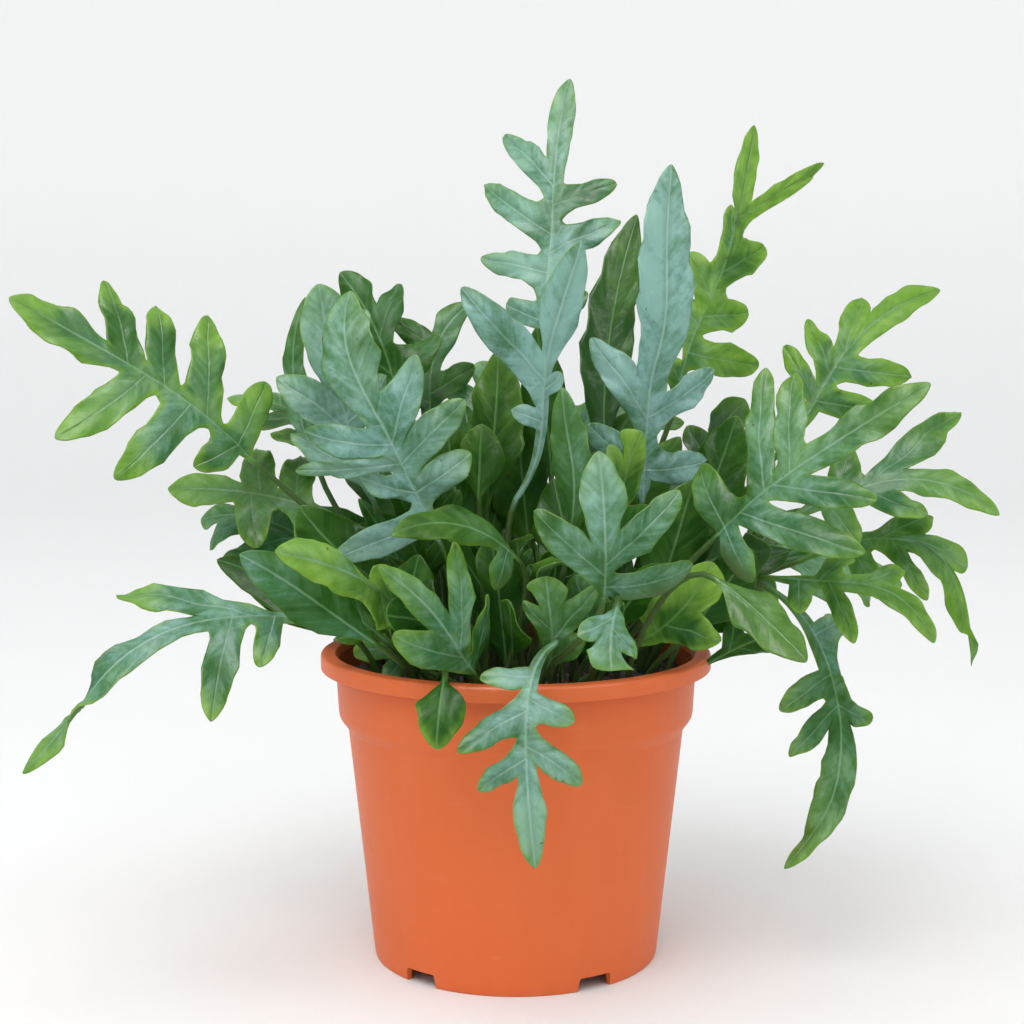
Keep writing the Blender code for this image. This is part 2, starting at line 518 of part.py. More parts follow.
    "inner_right_behind": dict(root=(44, 2), face=(-0.2, -0.85, 0.5), tip=17, wing=8,
        midrib=[(80, 4, 188), (95, 2, 228), (107, 0, 264)]),
    "low_left": dict(root=(-26, -44), face=(-0.45, -0.8, 0.4), tip=16, wing=9,
        midrib=[(-43, -46, 151), (-48, -50, 175), (-44, -52, 203)]),
    "low_centre": dict(root=(-4, -40), face=(0.4, -0.8, 0.4), tip=16, wing=9,
        midrib=[(-5, -36, 149), (-8, -38, 180), (-12, -38, 210)]),
    "low_right_of_centre": dict(root=(22, -52), face=(-0.4, -0.8, 0.4), tip=15, wing=8,
        midrib=[(37, -54, 151), (34, -58, 169), (27, -60, 195)]),
    "low_right": dict(root=(60, -38), face=(0.4, -0.8, 0.4), tip=16, wing=9,
        midrib=[(81, -42, 166), (93, -46, 183), (109, -46, 205)]),
}


def arching(turn, root, neck, tip, lobes, longest, first=1, forward=0.0):
    """A frond by rule, arching out over the turn's direction. neck and tip are (radius, height).

    Its face looks up and in, and as much forward as forward says.
    """
    a = radians(turn)
    out = np.array([cos(a), sin(a)])
    (r0, z0), (r1, z1) = neck, tip
    rise = 0.4 * abs(z1 - z0) + 32
    midrib = []
    for k in (0, 0.35, 0.7, 1):
        x, y = out * (r0 + (r1 - r0) * k)
        midrib.append((round(x), round(y), round(z0 + (z1 - z0) * k + rise * k * (1 - k))))
    rows = {1: [], -1: []}
    for k in np.linspace(0, 1, lobes):
        length = longest * (1 - 0.38 * abs(k - 0.35) / 0.65)
        side = first if len(rows[first]) == len(rows[-first]) else -first
        rows[side].append((0.10 + 0.58 * k, round(length), 62 - 8 * k, 8))
    face = (-0.5 * cos(a), -0.5 * sin(a) - forward, 0.85)
    return dict(root=tuple(np.round(out * root)), face=face, tip=9.5, wing=6, midrib=midrib,
                left=rows[-1], right=rows[1])


BACK_FRONDS = {
    "back_low_1": arching(18, 66, (104, 188), (212, 172), 5, 42, forward=0.7),
    "back_low_2": arching(46, 72, (100, 196), (184, 160), 5, 44, first=-1),
    "back_low_3": arching(78, 66, (100, 190), (146, 178), 5, 42),
    "back_low_4": arching(108, 68, (102, 194), (152, 156), 6, 44, first=-1),
    "back_low_5": arching(140, 66, (102, 190), (186, 168), 5, 42),
    "back_low_6": arching(163, 66, (98, 190), (168, 208), 4, 40, forward=0.7),
    "back_mid_1": arching(22, 62, (80, 208), (168, 222), 5, 30),
    "back_mid_2": arching(56, 40, (66, 236), (150, 268), 5, 44, first=-1),
    "back_mid_3": arching(92, 45, (70, 232), (140, 262), 6, 44),
    "back_mid_4": arching(130, 47, (78, 236), (150, 276), 5, 44, first=-1),
    "back_mid_5": arching(158, 36, (76, 230), (160, 270), 5, 42, forward=0.3),
    "back_high_1": arching(50, 26, (48, 232), (86, 292), 4, 40),
    "back_high_2": arching(100, 44, (56, 226), (100, 288), 4, 40, first=-1),
}


# Fronds without the blue bloom: the shaded inner ones, and young or ageing ones at the outside.
GREEN_FRONDS = {
    "centre_bright", "front_right_bright", "upper_right", "right_high", "front_left_plain",
    "front_left_crinkled", "right_ragged", "right_low", "front_folded", "front_rim", "front_arched",
    "front_small", "front_rim_plain", "rim_left_small", "inner_left", "inner_centre_left",
    "inner_centre", "inner_right", "inner_behind", "inner_right_behind", "low_left", "low_centre",
    "low_right_of_centre", "low_right", "upper_left_dark", "centre_plain",
}


def material(name, colour, roughness):
    """A Principled material in one colour."""
    made = bpy.data.materials.new(name)
    made.use_nodes = True
    shader = made.node_tree.nodes["Principled BSDF"]
    shader.inputs["Base Color"].default_value = (*colour, 1)
    shader.inputs["Roughness"].default_value = roughness
    made.diffuse_color = (*colour, 1)
    return made


def add_object(name, mesh, home, finish):
    """A new object in the collection, in its material, shaded smooth."""
    piece = bpy.data.objects.new(name, mesh)
    home.objects.link(piece)
    mesh.materials.append(finish)
    mesh.shade_smooth()
    mesh.set_sharp_from_angle(angle=radians(40))
    return piece


def turned(name, profile, home, finish):
    """A solid turned round the pot's axis from a profile of (radius, height) points."""
    mesh = bpy.data.meshes.new(name)
    points = [(r * MM, 0, z * MM) for r, z in profile]
    mesh.from_pydata(points, [(i, i + 1) for i in range(len(points) - 1)], [])
    piece = add_object(name, mesh, home, finish)
    screw = piece.modifiers.new("turn", "SCREW")
    screw.steps = POT_SIDES
    screw.render_steps = POT_SIDES
    screw.use_merge_vertices = True
    screw.merge_threshold = 0.00001
    return piece


def cut(piece, cutter):
    """Take the cutter away from the piece."""
    cutter.hide_render = True
    cutter.display_type = "WIRE"
    boolean = piece.modifiers.new("cut", "BOOLEAN")
    boolean.operation = "DIFFERENCE"
    boolean.object = cutter


def prisms(name, places, home, sides, radius, bottom, top):
    """One cutter of upright prisms, one at each (x, y)."""
    bm = bmesh.new()
    for x, y in places:
        made = bmesh.ops.create_cone(bm, cap_ends=True, segments=sides, radius1=radius * MM,
                                     radius2=radius * MM, depth=(top - bottom) * MM)
        bmesh.ops.translate(bm, verts=made["verts"], vec=(x * MM, y * MM, (top + bottom) / 2 * MM))
    mesh = bpy.data.meshes.new(name)
    bm.to_mesh(mesh)
    bm.free()
    cutter = bpy.data.objects.new(name, mesh)
    home.objects.link(cutter)
    return cutter


def body_radius(z):
    """Outer radius of the pot's tapered body at a height."""
    return FOOT_RADIUS + (STEP_RADIUS - FOOT_RADIUS) * z / STEP_FOOT


def ring(radius, turn):
    """x and y on a circle, by its turn in degrees."""
    return radius * cos(radians(turn)), radius * sin(radians(turn))


def make_pot(home, cutters):
    """The pot: a thin wall with a stepped collar, a turned-over rim and a raised floor on a notched foot."""
    lip_foot = POT_HEIGHT - LIP_HEIGHT
    inner_top = COLLAR_TOP_RADIUS - WALL
    profile = [
        (inner_top + 2.4, POT_HEIGHT), (RIM_RADIUS - 1.8, POT_HEIGHT), (RIM_RADIUS - 0.4, POT_HEIGHT - 1.0),
        (RIM_RADIUS, POT_HEIGHT - 2.6), (RIM_RADIUS, lip_foot + 1.0), (RIM_RADIUS - 0.8, lip_foot),
        (RIM_RADIUS - WALL, lip_foot + 0.6), (RIM_RADIUS - WALL, POT_HEIGHT - 2.2),
        (COLLAR_TOP_RADIUS + 1.0, POT_HEIGHT - 2.2), (COLLAR_TOP_RADIUS, lip_foot),
        (COLLAR_FOOT_RADIUS, COLLAR_FOOT), (COLLAR_FOOT_RADIUS - 0.6, COLLAR_FOOT - 1.2),
        (STEP_RADIUS, STEP_FOOT), (body_radius(2.0), 2.0), (FOOT_RADIUS - 0.8, 0),
        (FOOT_RADIUS - FOOT_WIDTH, 0), (FOOT_RADIUS - FOOT_WIDTH, FLOOR), (0, FLOOR),
        (0, FLOOR + WALL), (body_radius(FLOOR) - WALL - 1.5, FLOOR + WALL),
        (body_radius(FLOOR) - WALL, FLOOR + WALL + 1.5), (STEP_RADIUS - WALL, STEP_FOOT),
        (COLLAR_FOOT_RADIUS - WALL, COLLAR_FOOT), (inner_top, POT_HEIGHT - 3.5), (inner_top + 2.4, POT_HEIGHT),
    ]
    pot = turned("pot", profile, home, material("pot_plastic", (0.73, 0.165, 0.06), 0.42))
    turns = [NOTCH_TURN + 360 / NOTCHES * k for k in range(NOTCHES)]
    bm = bmesh.new()
    for turn in turns:
        box = bmesh.ops.create_cube(bm, size=MM)["verts"]
        bmesh.ops.scale(bm, verts=box, vec=(14, NOTCH_WIDTH, 2 * NOTCH_HEIGHT))
        bmesh.ops.translate(bm, verts=box, vec=((FOOT_RADIUS - 1) * MM, 0, 0))
        bmesh.ops.rotate(bm, verts=box, cent=(0, 0, 0), matrix=Matrix.Rotation(radians(turn), 3, "Z"))
    mesh = bpy.data.meshes.new("notches")
    bm.to_mesh(mesh)
    bm.free()
    notches = bpy.data.objects.new("notches", mesh)
    cutters.objects.link(notches)
    cut(pot, notches)
    holes = [ring(DRAIN_HOLE_RING, turn) for turn in turns] + [(0, 0)]
    cut(pot, prisms("drain_holes", holes, cutters, 8, DRAIN_HOLE, FLOOR - 2, FLOOR + WALL + 2))
    return pot


def make_soil(home, cutters, roots):
    """The soil that fills the pot, with a plain hole for each stipe."""
    floor = FLOOR + WALL + GAP
    inside = WALL + GAP
    profile = [
        (0, SOIL_TOP), (COLLAR_FOOT_RADIUS + 0.6 - inside, SOIL_TOP),
        (COLLAR_FOOT_RADIUS - 0.1 - inside, COLLAR_FOOT), (STEP_RADIUS - 0.1 - inside, STEP_FOOT - 0.4),
        (body_radius(floor) - inside - 1.8, floor + 1.5), (body_radius(floor) - inside - 3.4, floor), (0, floor),
    ]
    soil = turned("soil", profile, home, material("peat", (0.018, 0.012, 0.008), 0.95))
    cut(soil, prisms("stipe_holes", roots, cutters, 5, HOLE, SOIL_TOP - BURIED - GAP, SOIL_TOP + 2))
    return soil


def make_frond(name, blade, home, finish):
    """One frond: the sheet with its doubled points merged, in triangles, and given its thickness."""
    points, faces, shares = frond_sheet(blade, steps=1, stipe_steps=4, tip_steps=4,
                                        edge_shares=(0.42,), vein_shares=(0.5,))
    _, keep, merged = np.unique(np.round(points, 3), axis=0, return_index=True, return_inverse=True)
    corners = merged.reshape(-1)[faces]
    triangles = np.concatenate([corners[:, [0, 1, 2]], corners[:, [0, 2, 3]]])
    a, b, c = triangles.T
    triangles = triangles[(a != b) & (b != c) & (c != a)]
    mesh = bpy.data.meshes.new(name)
    mesh.from_pydata(points[keep] * MM, [], triangles.tolist())
    piece = add_object(name, mesh, home, finish)
    thick = piece.vertex_groups.new(name="thickness")
    for number, share in enumerate(shares[keep]):
        thick.add([number], share, "REPLACE")
    solidify = piece.modifiers.new("thickness", "SOLIDIFY")
    solidify.thickness = STIPE_THICK * MM
    solidify.offset = 0
    solidify.vertex_group = thick.name
    return piece


def main():
    for old in list(bpy.data.objects):
        bpy.data.objects.remove(old)
    home = bpy.data.collections.new("blue_star_fern")
    cutters = bpy.data.collections.new("cutters")
    for collection in (home, cutters):
        bpy.context.scene.collection.children.link(collection)
    leaf_blue = material("leaf_blue", (0.16, 0.31, 0.23), 0.45)
    leaf_green = material("leaf_green", (0.11, 0.27, 0.08), 0.4)
    fronds = FRONDS | BACK_FRONDS
    make_pot(home, cutters)
    make_soil(home, cutters, [frond["root"] for frond in fronds.values()])
    for number, (name, sizes) in enumerate(fronds.items()):
        finish = leaf_green if name in GREEN_FRONDS else leaf_blue
        make_frond("frond_" + name, Blade(number, **sizes), home, finish)


main()
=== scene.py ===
"""Finish of a blue star fern in its nursery pot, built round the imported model.

Sizes are millimetres and degrees, and MM turns them into metres where a mesh is made. Each frond's plan is
the one that its plain solid is made from, laid out on a finer grid, with waves, veins and a thin margin.
"""
import json
from math import cos, pi, radians, sin

import bpy
import numpy as np
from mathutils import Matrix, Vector
from mathutils.bvhtree import BVHTree


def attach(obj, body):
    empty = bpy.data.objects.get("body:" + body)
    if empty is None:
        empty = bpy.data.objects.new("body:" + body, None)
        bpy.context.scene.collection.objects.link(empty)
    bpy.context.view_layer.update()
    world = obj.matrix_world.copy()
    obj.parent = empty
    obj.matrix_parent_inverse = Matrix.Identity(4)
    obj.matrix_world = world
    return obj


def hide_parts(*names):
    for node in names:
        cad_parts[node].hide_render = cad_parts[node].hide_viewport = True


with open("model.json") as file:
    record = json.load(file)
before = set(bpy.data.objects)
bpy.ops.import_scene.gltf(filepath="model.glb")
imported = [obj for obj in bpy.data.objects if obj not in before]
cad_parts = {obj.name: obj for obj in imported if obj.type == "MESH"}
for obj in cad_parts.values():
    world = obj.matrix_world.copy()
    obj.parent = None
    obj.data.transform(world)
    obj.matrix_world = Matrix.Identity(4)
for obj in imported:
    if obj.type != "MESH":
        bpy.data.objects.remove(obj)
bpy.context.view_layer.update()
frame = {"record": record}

MM = 0.001

# Pot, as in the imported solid.
RIM_RADIUS = 95.0
POT_HEIGHT = 150.0
FOOT_RADIUS = 69.5
WALL = 1.4
LIP_HEIGHT = 7.6
COLLAR_TOP_RADIUS = 87.7
COLLAR_FOOT_RADIUS = 86.4
COLLAR_FOOT = 120.0
STEP_FOOT = 113.2
STEP_RADIUS = 81.8
FLOOR = 7.6
FOOT_WIDTH = 2.6
NOTCHES = 5
NOTCH_WIDTH = 18.0
NOTCH_HEIGHT = 6.6
NOTCH_TURN = -58.0
DRAIN_HOLE = 5.0
DRAIN_HOLE_RING = 58.0
POT_TURNS = 160

# Peat.
SOIL_TOP = 136.0
BURIED = 12.0
GAP = 0.3
LUMP = 1.1
LUMP_WAVES = 90
LUMP_SEED = 8
CRUMBS = 900
CRUMB_SEED = 21
CRUMB_REACH = 78.0

# Fronds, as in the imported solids, with thinner blades. STIPE is half the stipe's width, RUNG the step between
# stations on a midrib, and CUP times v squared the blade's fall at v from the midrib. A stipe curves only
# from BARE_FOOT above the soil. A lobe's vein reaches LOBE_END of its length, and a lobe keeps LEAST_WIDTH of
# its width or more beside its neighbours. RIPPLE is how far outlines ripple, as a share of their half-width.
STIPE = 1.3
STIPE_THICK = 2.5
BLADE_THICK = 0.55
RUNG = 5.0
CUP = 0.004
BARE_FOOT = 2.0
LOBE_END = 0.93
LEAST_WIDTH = 0.6
RIPPLE = 0.05
BACK_SEED = 900

# How far a lobe's vein bends and droops and its blade twists, in degrees: the means, then the spreads.
LOBE_TURNS = (4, 24, 0), (7, 8, 9)

# A blade that doesn't turn about its midrib: (share of the blade, degrees) at its two ends.
FLAT = [(0, 0), (1, 0)]

# Every curve's stations, as shares of it, and those past a lobe's foot, where it has to clear its neighbours.
STEPS = 24
PARTS = np.linspace(0, 1, STEPS + 1)
CLEAR_PARTS = slice(8, STEPS)

# What the finish adds to them: a margin that waves and ruffles, puffed and buckled blades, a random tone for
# each lobe, and a finer grid.
WAVE = 1.5
WAVE_LENGTH = 26.0
PUFF = 0.45
RUFFLE = 0.35
RUFFLE_LENGTH = 9.5
BUCKLE = 0.55
BUCKLES = 5
BUCKLE_LENGTHS = (13, 36)
TONES = 40
SHEET_SEED = 500
ACROSS = np.array([0, 0.07, 0.2, 0.38, 0.58, 0.78, 0.92, 1])
ALONG = np.linspace(0, 1, 13)[1:-1]
TIP_EASE = 1.7
FINE_STEPS = (14, 26, RUNG / 2)
PLAIN_STEPS = (6, 12, RUNG)

# Young leaves: how many are tried, and how near the middle and how far from it their roots stand. Each root
# is a golden angle, in radians, on from the one before.
YOUNG_TRIED = 340
YOUNG_INNER = 6
YOUNG_REACH = 72.0
YOUNG_SEED = 3000
YOUNG_LOOK_SEED = 77
YOUNG_FIRST_NUMBER = 300
GOLDEN_ANGLE = 2.39996

# Camera: 0.9 m in front, and turned down by CAMERA_DOWN in radians.
CAMERA_PLACE = (-1.85, -900.0, 311.3)
CAMERA_DOWN = 0.104
SENSOR = 36.0
LENS = 65.56

# Floor: how far it reaches, and how high and how roundly its edge curves up.
SWEEP_REACH = 3200
SWEEP_HEIGHT = 2200
SWEEP_BEND = 900


def smooth(x):
    """Ease from 0 to 1."""
    x = np.clip(x, 0, 1)
    return x * x * (3 - 2 * x)


def unit(v):
    """Vectors of length 1."""
    return v / np.maximum(np.linalg.norm(v, axis=-1, keepdims=True), 1e-12)


def turned(angle, a, b):
    """Directions turned by an angle from a towards b."""
    return np.cos(angle)[..., None] * a + np.sin(angle)[..., None] * b


def distances(points):
    """How far each point is along the line through them all."""
    return np.concatenate([[0], np.cumsum(np.linalg.norm(np.diff(points, axis=0), axis=1))])


def reading(x, knots, line):
    """A line's value at x, where line holds its values at the knots."""
    return np.stack([np.interp(x, knots, line[:, k]) for k in range(3)], -1)


def curve_through(points):
    """Natural cubic through the points, by chord length; its ends keep their neighbour's curvature.

    m holds the second derivatives at the points, and a and b are the lengths to the points on either side.
    """
    p = np.array(points, float)
    last = len(p) - 1
    knots = distances(p)
    h = np.diff(knots)
    rows = np.eye(last + 1)
    bend = np.zeros_like(p)
    slope = np.diff(p, axis=0) / h[:, None]
    for i in range(1, last):
        rows[i, i - 1:i + 2] = h[i - 1], 2 * (h[i - 1] + h[i]), h[i]
        bend[i] = 6 * (slope[i] - slope[i - 1])
    rows[0, 1] = rows[last, last - 1] = -1
    m = np.linalg.solve(rows, bend)
    x = np.linspace(0, knots[-1], STEPS * last + 1)
    i = np.clip(np.searchsorted(knots, x, "right") - 1, 0, last - 1)
    b = (x - knots[i])[:, None]
    span = h[i][:, None]
    a = span - b
    return ((m[i] * a ** 3 + m[i + 1] * b ** 3) / (6 * span)
            + (p[i] / span - m[i] * span / 6) * a
            + (p[i + 1] / span - m[i + 1] * span / 6) * b)


class Midrib:
    """Line of the stipe and the midrib. u is 0 where the blade starts and negative down the stipe."""

    def __init__(self, root, midrib, face, roll):
        blade = curve_through(midrib)
        foot = np.array([[*root, SOIL_TOP - BURIED * k] for k in (1, 0.5, 0)])
        start = foot[-1] + (0, 0, BARE_FOOT)
        reach = 0.9 * np.linalg.norm(blade[0] - start)
        up = np.array([0, 0, reach])
        out = unit(np.subtract(midrib[1], midrib[0]).astype(float)) * reach
        t = PARTS[:-1, None]
        stem = ((2 * t ** 3 - 3 * t ** 2 + 1) * start + (t ** 3 - 2 * t ** 2 + t) * up
                + (3 * t ** 2 - 2 * t ** 3) * blade[0] + (t ** 3 - t ** 2) * out)
        self.p = np.concatenate([foot, stem, blade])
        run = distances(self.p)
        self.u = run - run[len(foot) + len(stem)]
        self.low = self.u[0]
        self.length = self.u[-1]
        self.along = unit(np.gradient(self.p, self.u, axis=0))
        look = unit(np.array(face, float))
        level = unit(look - (self.along @ look)[:, None] * self.along)
        turn = np.radians(np.interp(self.u / self.length, *np.transpose(roll)))
        self.up = turned(turn, level, np.cross(self.along, level))
        self.side = np.cross(self.along, self.up)

    def read(self, line, u):
        """The line's value at u."""
        return reading(u, self.u, line)

    def place(self, u, v):
        """Point v across from the midrib at u, on a blade cupped by CUP v squared."""
        beyond = np.maximum(u - self.length, 0)[..., None]
        return (self.read(self.p, u) + self.read(self.along, u) * beyond
                + self.read(self.side, u) * v[..., None] - self.read(self.up, u) * (CUP * v * v)[..., None])


class Lobe:
    """One lobe: its vein leaves the midrib at an angle, bends in the blade's plane and droops out of it."""

    def __init__(self, rib, side, share, length, angle, half, bend, droop, twist):
        self.length = length
        self.half = half
        self.foot = max(RUNG * round(share * rib.length / RUNG), RUNG)
        self.s = PARTS * length
        self.angle = radians(angle) - radians(bend) * PARTS
        sink = radians(droop) * PARTS
        roll = radians(twist) * smooth((PARTS - 0.15) / 0.85)
        a, f = ((line[1:] + line[:-1]) / 2 for line in (self.angle, sink))
        step = length / STEPS
        self.u = self.foot + np.concatenate([[0], np.cumsum(np.cos(a))]) * step
        self.v = np.concatenate([[0], np.cumsum(np.sin(a))]) * step
        base, along, across, up = (rib.read(line, self.foot) for line in (rib.p, rib.along, rib.side, rib.up))
        across = across * side
        run = turned(f, turned(a, along, across), -up) * step
        self.vein = np.concatenate([[base], base + np.cumsum(run, 0)])
        wide = turned(self.angle, -across, along)
        top = turned(sink, up, turned(self.angle, along, across))
        self.wide = turned(roll, wide, top)
        self.top = turned(roll, top, -wide)

    def flat(self, s, r):
        """Blade coordinates of the point s along the vein and r to its upper side."""
        a = np.interp(s, self.s, self.angle)
        return np.interp(s, self.s, self.u) + r * np.sin(a), np.interp(s, self.s, self.v) - r * np.cos(a)

    def local(self, u, v):
        """s and r of a point near the lobe's foot."""
        a = self.angle[0]
        return (u - self.foot) * cos(a) + v * sin(a), (u - self.foot) * sin(a) - v * cos(a)

    def place(self, s, r):
        """Point and upper normal at s along the drooping vein and r across it."""
        vein, wide, top = (reading(s, self.s, line) for line in (self.vein, self.wide, self.top))
        return vein + r[..., None] * wide, top


def lobe_half(x):
    """Half-width of a lobe at the share x of its length: narrow at its foot, widest at 0.6, then round."""
    body = 0.66 + 0.34 * smooth(x / 0.6)
    return body * np.clip(1 - x ** 3.4, 0, 1) ** 0.62


def tip_half(y, start, half, widest):
    """Half-width of the blade's end at the share y from its last gap."""
    body = start + (half - start) * smooth(y / widest)
    shoulder = widest * 0.6
    return body * np.clip(1 - np.clip((y - shoulder) / (1 - shoulder), 0, 1) ** 2.6, 0, 1) ** 0.68


def ripple(x, length, long, short, start):
    """Factor on a half-width at the share x of its length: two slow sines that fade out at both ends."""
    bumps = np.sin(x * length / long + start) + 0.7 * np.sin(x * length / short - start)
    return 1 + RIPPLE * bumps * np.sin(pi * np.clip(x, 0, 1)) ** 0.7


def room(lobe, line, halves):
    """The share of its width that a lobe may keep beside a line with half-widths of its own."""
    apart = np.linalg.norm(lobe.vein[CLEAR_PARTS, None] - line[CLEAR_PARTS], axis=2)
    wanted = (lobe.half * lobe_half(PARTS))[CLEAR_PARTS, None] + halves[CLEAR_PARTS]
    return np.clip((apart / wanted).min(), LEAST_WIDTH, 1)


def rung(u, low, high):
    """The nearest rung between two limits."""
    return round(min(max(RUNG * round(u / RUNG), low), high), 3)


class Blade:
    """The flat plan of one frond: its lobes, the gaps between them and the rungs across its midrib.

    Both sides of the midrib share the rungs, so that their points on it are the same points. start is where
    the last gap stands, and end is the last rung, just short of the tip.
    """

    def __init__(self, number, root, face, tip, wing, midrib, left=(), right=(), widest=0.42, roll=FLAT,
                 pucker=1.0):
        self.rib = Midrib(root, midrib, face, roll)
        self.tip = tip
        self.wing = wing
        self.widest = widest
        self.number = number
        self.pucker = pucker
        variety = np.random.default_rng(number)
        self.lobes = {}
        for side, rows in ((-1, left), (1, right)):
            found = [Lobe(self.rib, side, *row, *variety.normal(*LOBE_TURNS)) for row in rows]
            self.lobes[side] = sorted(found, key=lambda lobe: lobe.foot)
            for a, b in zip(self.lobes[side], self.lobes[side][1:]):
                share = room(a, b.vein, b.half * lobe_half(PARTS))
                a.half *= share
                b.half *= share
        self.gaps = {side: self.find_gaps(self.lobes[side]) for side in (-1, 1)}
        for side in (-1, 1):
            if self.lobes[side]:
                last = self.lobes[side][-1]
                end = self.rib.read(self.rib.p, np.linspace(self.gaps[side][-1], self.rib.length, STEPS + 1))
                last.half *= room(last, end, tip_half(PARTS, wing, tip, widest))
        self.start = max(gaps[-1] for gaps in self.gaps.values())
        self.end = self.rib.length - 0.05 * (self.rib.length - self.start) - 1

    def find_gaps(self, lobes):
        """Where the gaps between one side's lobes stand on the midrib."""
        if not lobes:
            return [0.0]
        first, last = lobes[0], lobes[-1]
        low = first.foot - 0.85 * first.half / sin(first.angle[0])
        gaps = [rung(low, 0, first.foot - RUNG)]
        for a, b in zip(lobes, lobes[1:]):
            middle = a.foot + (b.foot - a.foot) * a.half / (a.half + b.half)
            gaps.append(rung(middle, a.foot + RUNG, b.foot - RUNG))
        high = last.foot + 0.95 * last.half / sin(last.angle[0])
        return [*gaps, rung(high, last.foot + RUNG, self.rib.length * 0.93)]

    def wing_at(self, u):
        """Half-width of the green wing along the midrib. It narrows to the blade's base."""
        return self.wing * (0.45 + 0.55 * smooth(u / (0.45 * self.rib.length)))

    def corners(self, side):
        """u and v where the margin turns at each gap: on the wing's edge, halfway between the lobes' ways.

        A side with no lobes starts as wide as the stipe.
        """
        lobes = self.lobes[side]
        found = []
        for k, gap in enumerate(self.gaps[side] if lobes else ()):
            slope = np.mean([lobe.angle[0] for lobe in lobes[max(k - 1, 0):k + 1]])
            found.append((gap + self.wing_at(gap) / np.tan(slope), self.wing_at(gap)))
        return found or [(0.0, STIPE)]

    def rungs(self, stipe_steps=4, tip_steps=4, between=0.0):
        """Stations on the midrib: down the stipe, at every lobe and gap, and up to the tip.

        With between above 0, more stations that far apart fill the stretch that carries the lobes.
        """
        marks = {0.0, round(self.rib.low + BURIED, 3)}
        marks.update(np.round(self.rib.low * np.arange(1, stipe_steps + 1) / stipe_steps, 3))
        for side in (-1, 1):
            if self.lobes[side]:
                marks.update(self.gaps[side])
                marks.update(lobe.foot for lobe in self.lobes[side])
        if between and self.start > 0:
            marks.update(np.round(np.arange(between, self.start, between), 3))
        marks.update(np.round(np.linspace(self.start, self.end, tip_steps + 1), 3))
        return np.array(sorted(marks))


def side_columns(blade, side, rungs, edge_shares, vein_shares, tip_ease=1.0):
    """Columns from vein to margin on one side of a blade, in order from the stipe's foot to the tip.

    Each row: vein u, v; margin u, v; lobe number or -1; s, r of both ends in that lobe; and the column's
    station along the margin, which counts the gaps and is a whole number and a half at a lobe's end.
    """
    lobes, gaps, corners = blade.lobes[side], blade.gaps[side], blade.corners(side)
    no_lobe = (-1, 0, 0, 0, 0)
    rows = []
    (corner_u, wing), gap = corners[0], gaps[0]
    for u in rungs[rungs <= gap]:
        rise = smooth(u / gap) if gap > 0 else 0.0
        station = (u - gap) / (gap - blade.rib.low)
        rows.append((u, 0, u + (corner_u - gap) * rise, STIPE + (wing - STIPE) * rise, *no_lobe, station))
    for number, lobe in enumerate(lobes):
        for way, gap, (corner_u, wing) in zip((-1, 1), gaps[number:], corners[number:]):
            corner_s, corner_r = lobe.local(corner_u, wing)
            start = np.clip(max(corner_s, wing) / lobe.length, 0.08, 0.5)
            free = start + 0.10 * (1 - start)

            def margin(x):
                """s, r and station of the margin at the share x, eased out of the gap's round corner."""
                share = (x - start) / (1 - start)
                ease = 1 - (1 - np.clip(share / 0.4, 0, 1)) ** 3
                rippled = ripple(x, lobe.length, 2.9, 1.7, 11.0 * lobe.length + 2.0 * way)
                half = way * lobe.half * lobe_half(x) * rippled
                return (corner_s + (x * lobe.length - corner_s) * ease, corner_r + (half - corner_r) * ease,
                        number + (1 + way - way * share) / 2)

            column = []
            near, far = sorted((gap, lobe.foot))
            for u in rungs[(rungs >= near) & (rungs <= far) & (rungs != gap)][::-way]:
                share = (u - gap) / (lobe.foot - gap)
                s, r, station = margin(start + (free - start) * share)
                out = smooth(0.1 + 0.9 * share)
                out_u, out_v = lobe.flat(s, r)
                column.append((u, 0, corner_u + (out_u - corner_u) * out, wing + (out_v - wing) * out,
                               number, *lobe.local(u, 0), s, r, station))
            lobe_end = [(1, 1)] if way < 0 else []
            for vein_share, edge_share in [*zip(vein_shares, edge_shares), *lobe_end]:
                along = LOBE_END * lobe.length * vein_share
                s, r, station = margin(free + (1 - free) * edge_share)
                column.append((*lobe.flat(along, 0), *lobe.flat(s, r), number, along, 0, s, r, station))
            rows += column[::-way]
        rows.append((gap, 0, corner_u, wing, *no_lobe, number + 1))
    for u in rungs[(rungs > gap) & (rungs < blade.end - 0.01)]:
        y = 1 - (1 - (u - gap) / (blade.end - gap)) ** tip_ease
        rippled = ripple(y, blade.rib.length - blade.start, 3.4, 2.1, 1.3 * blade.number + side)
        half = tip_half(y, wing, blade.tip, blade.widest) * rippled
        rows.append((u, 0, corner_u + (blade.rib.length - corner_u) * y, half, *no_lobe, len(lobes) + y))
    rows.append((rungs[-1], 0, blade.rib.length, 0, *no_lobe, len(lobes) + 1))
    return np.array(rows, float)


def widths(c):
    """The length of each column from vein to margin."""
    return np.hypot(c[:, [2]] - c[:, [0]], c[:, [3]] - c[:, [1]])


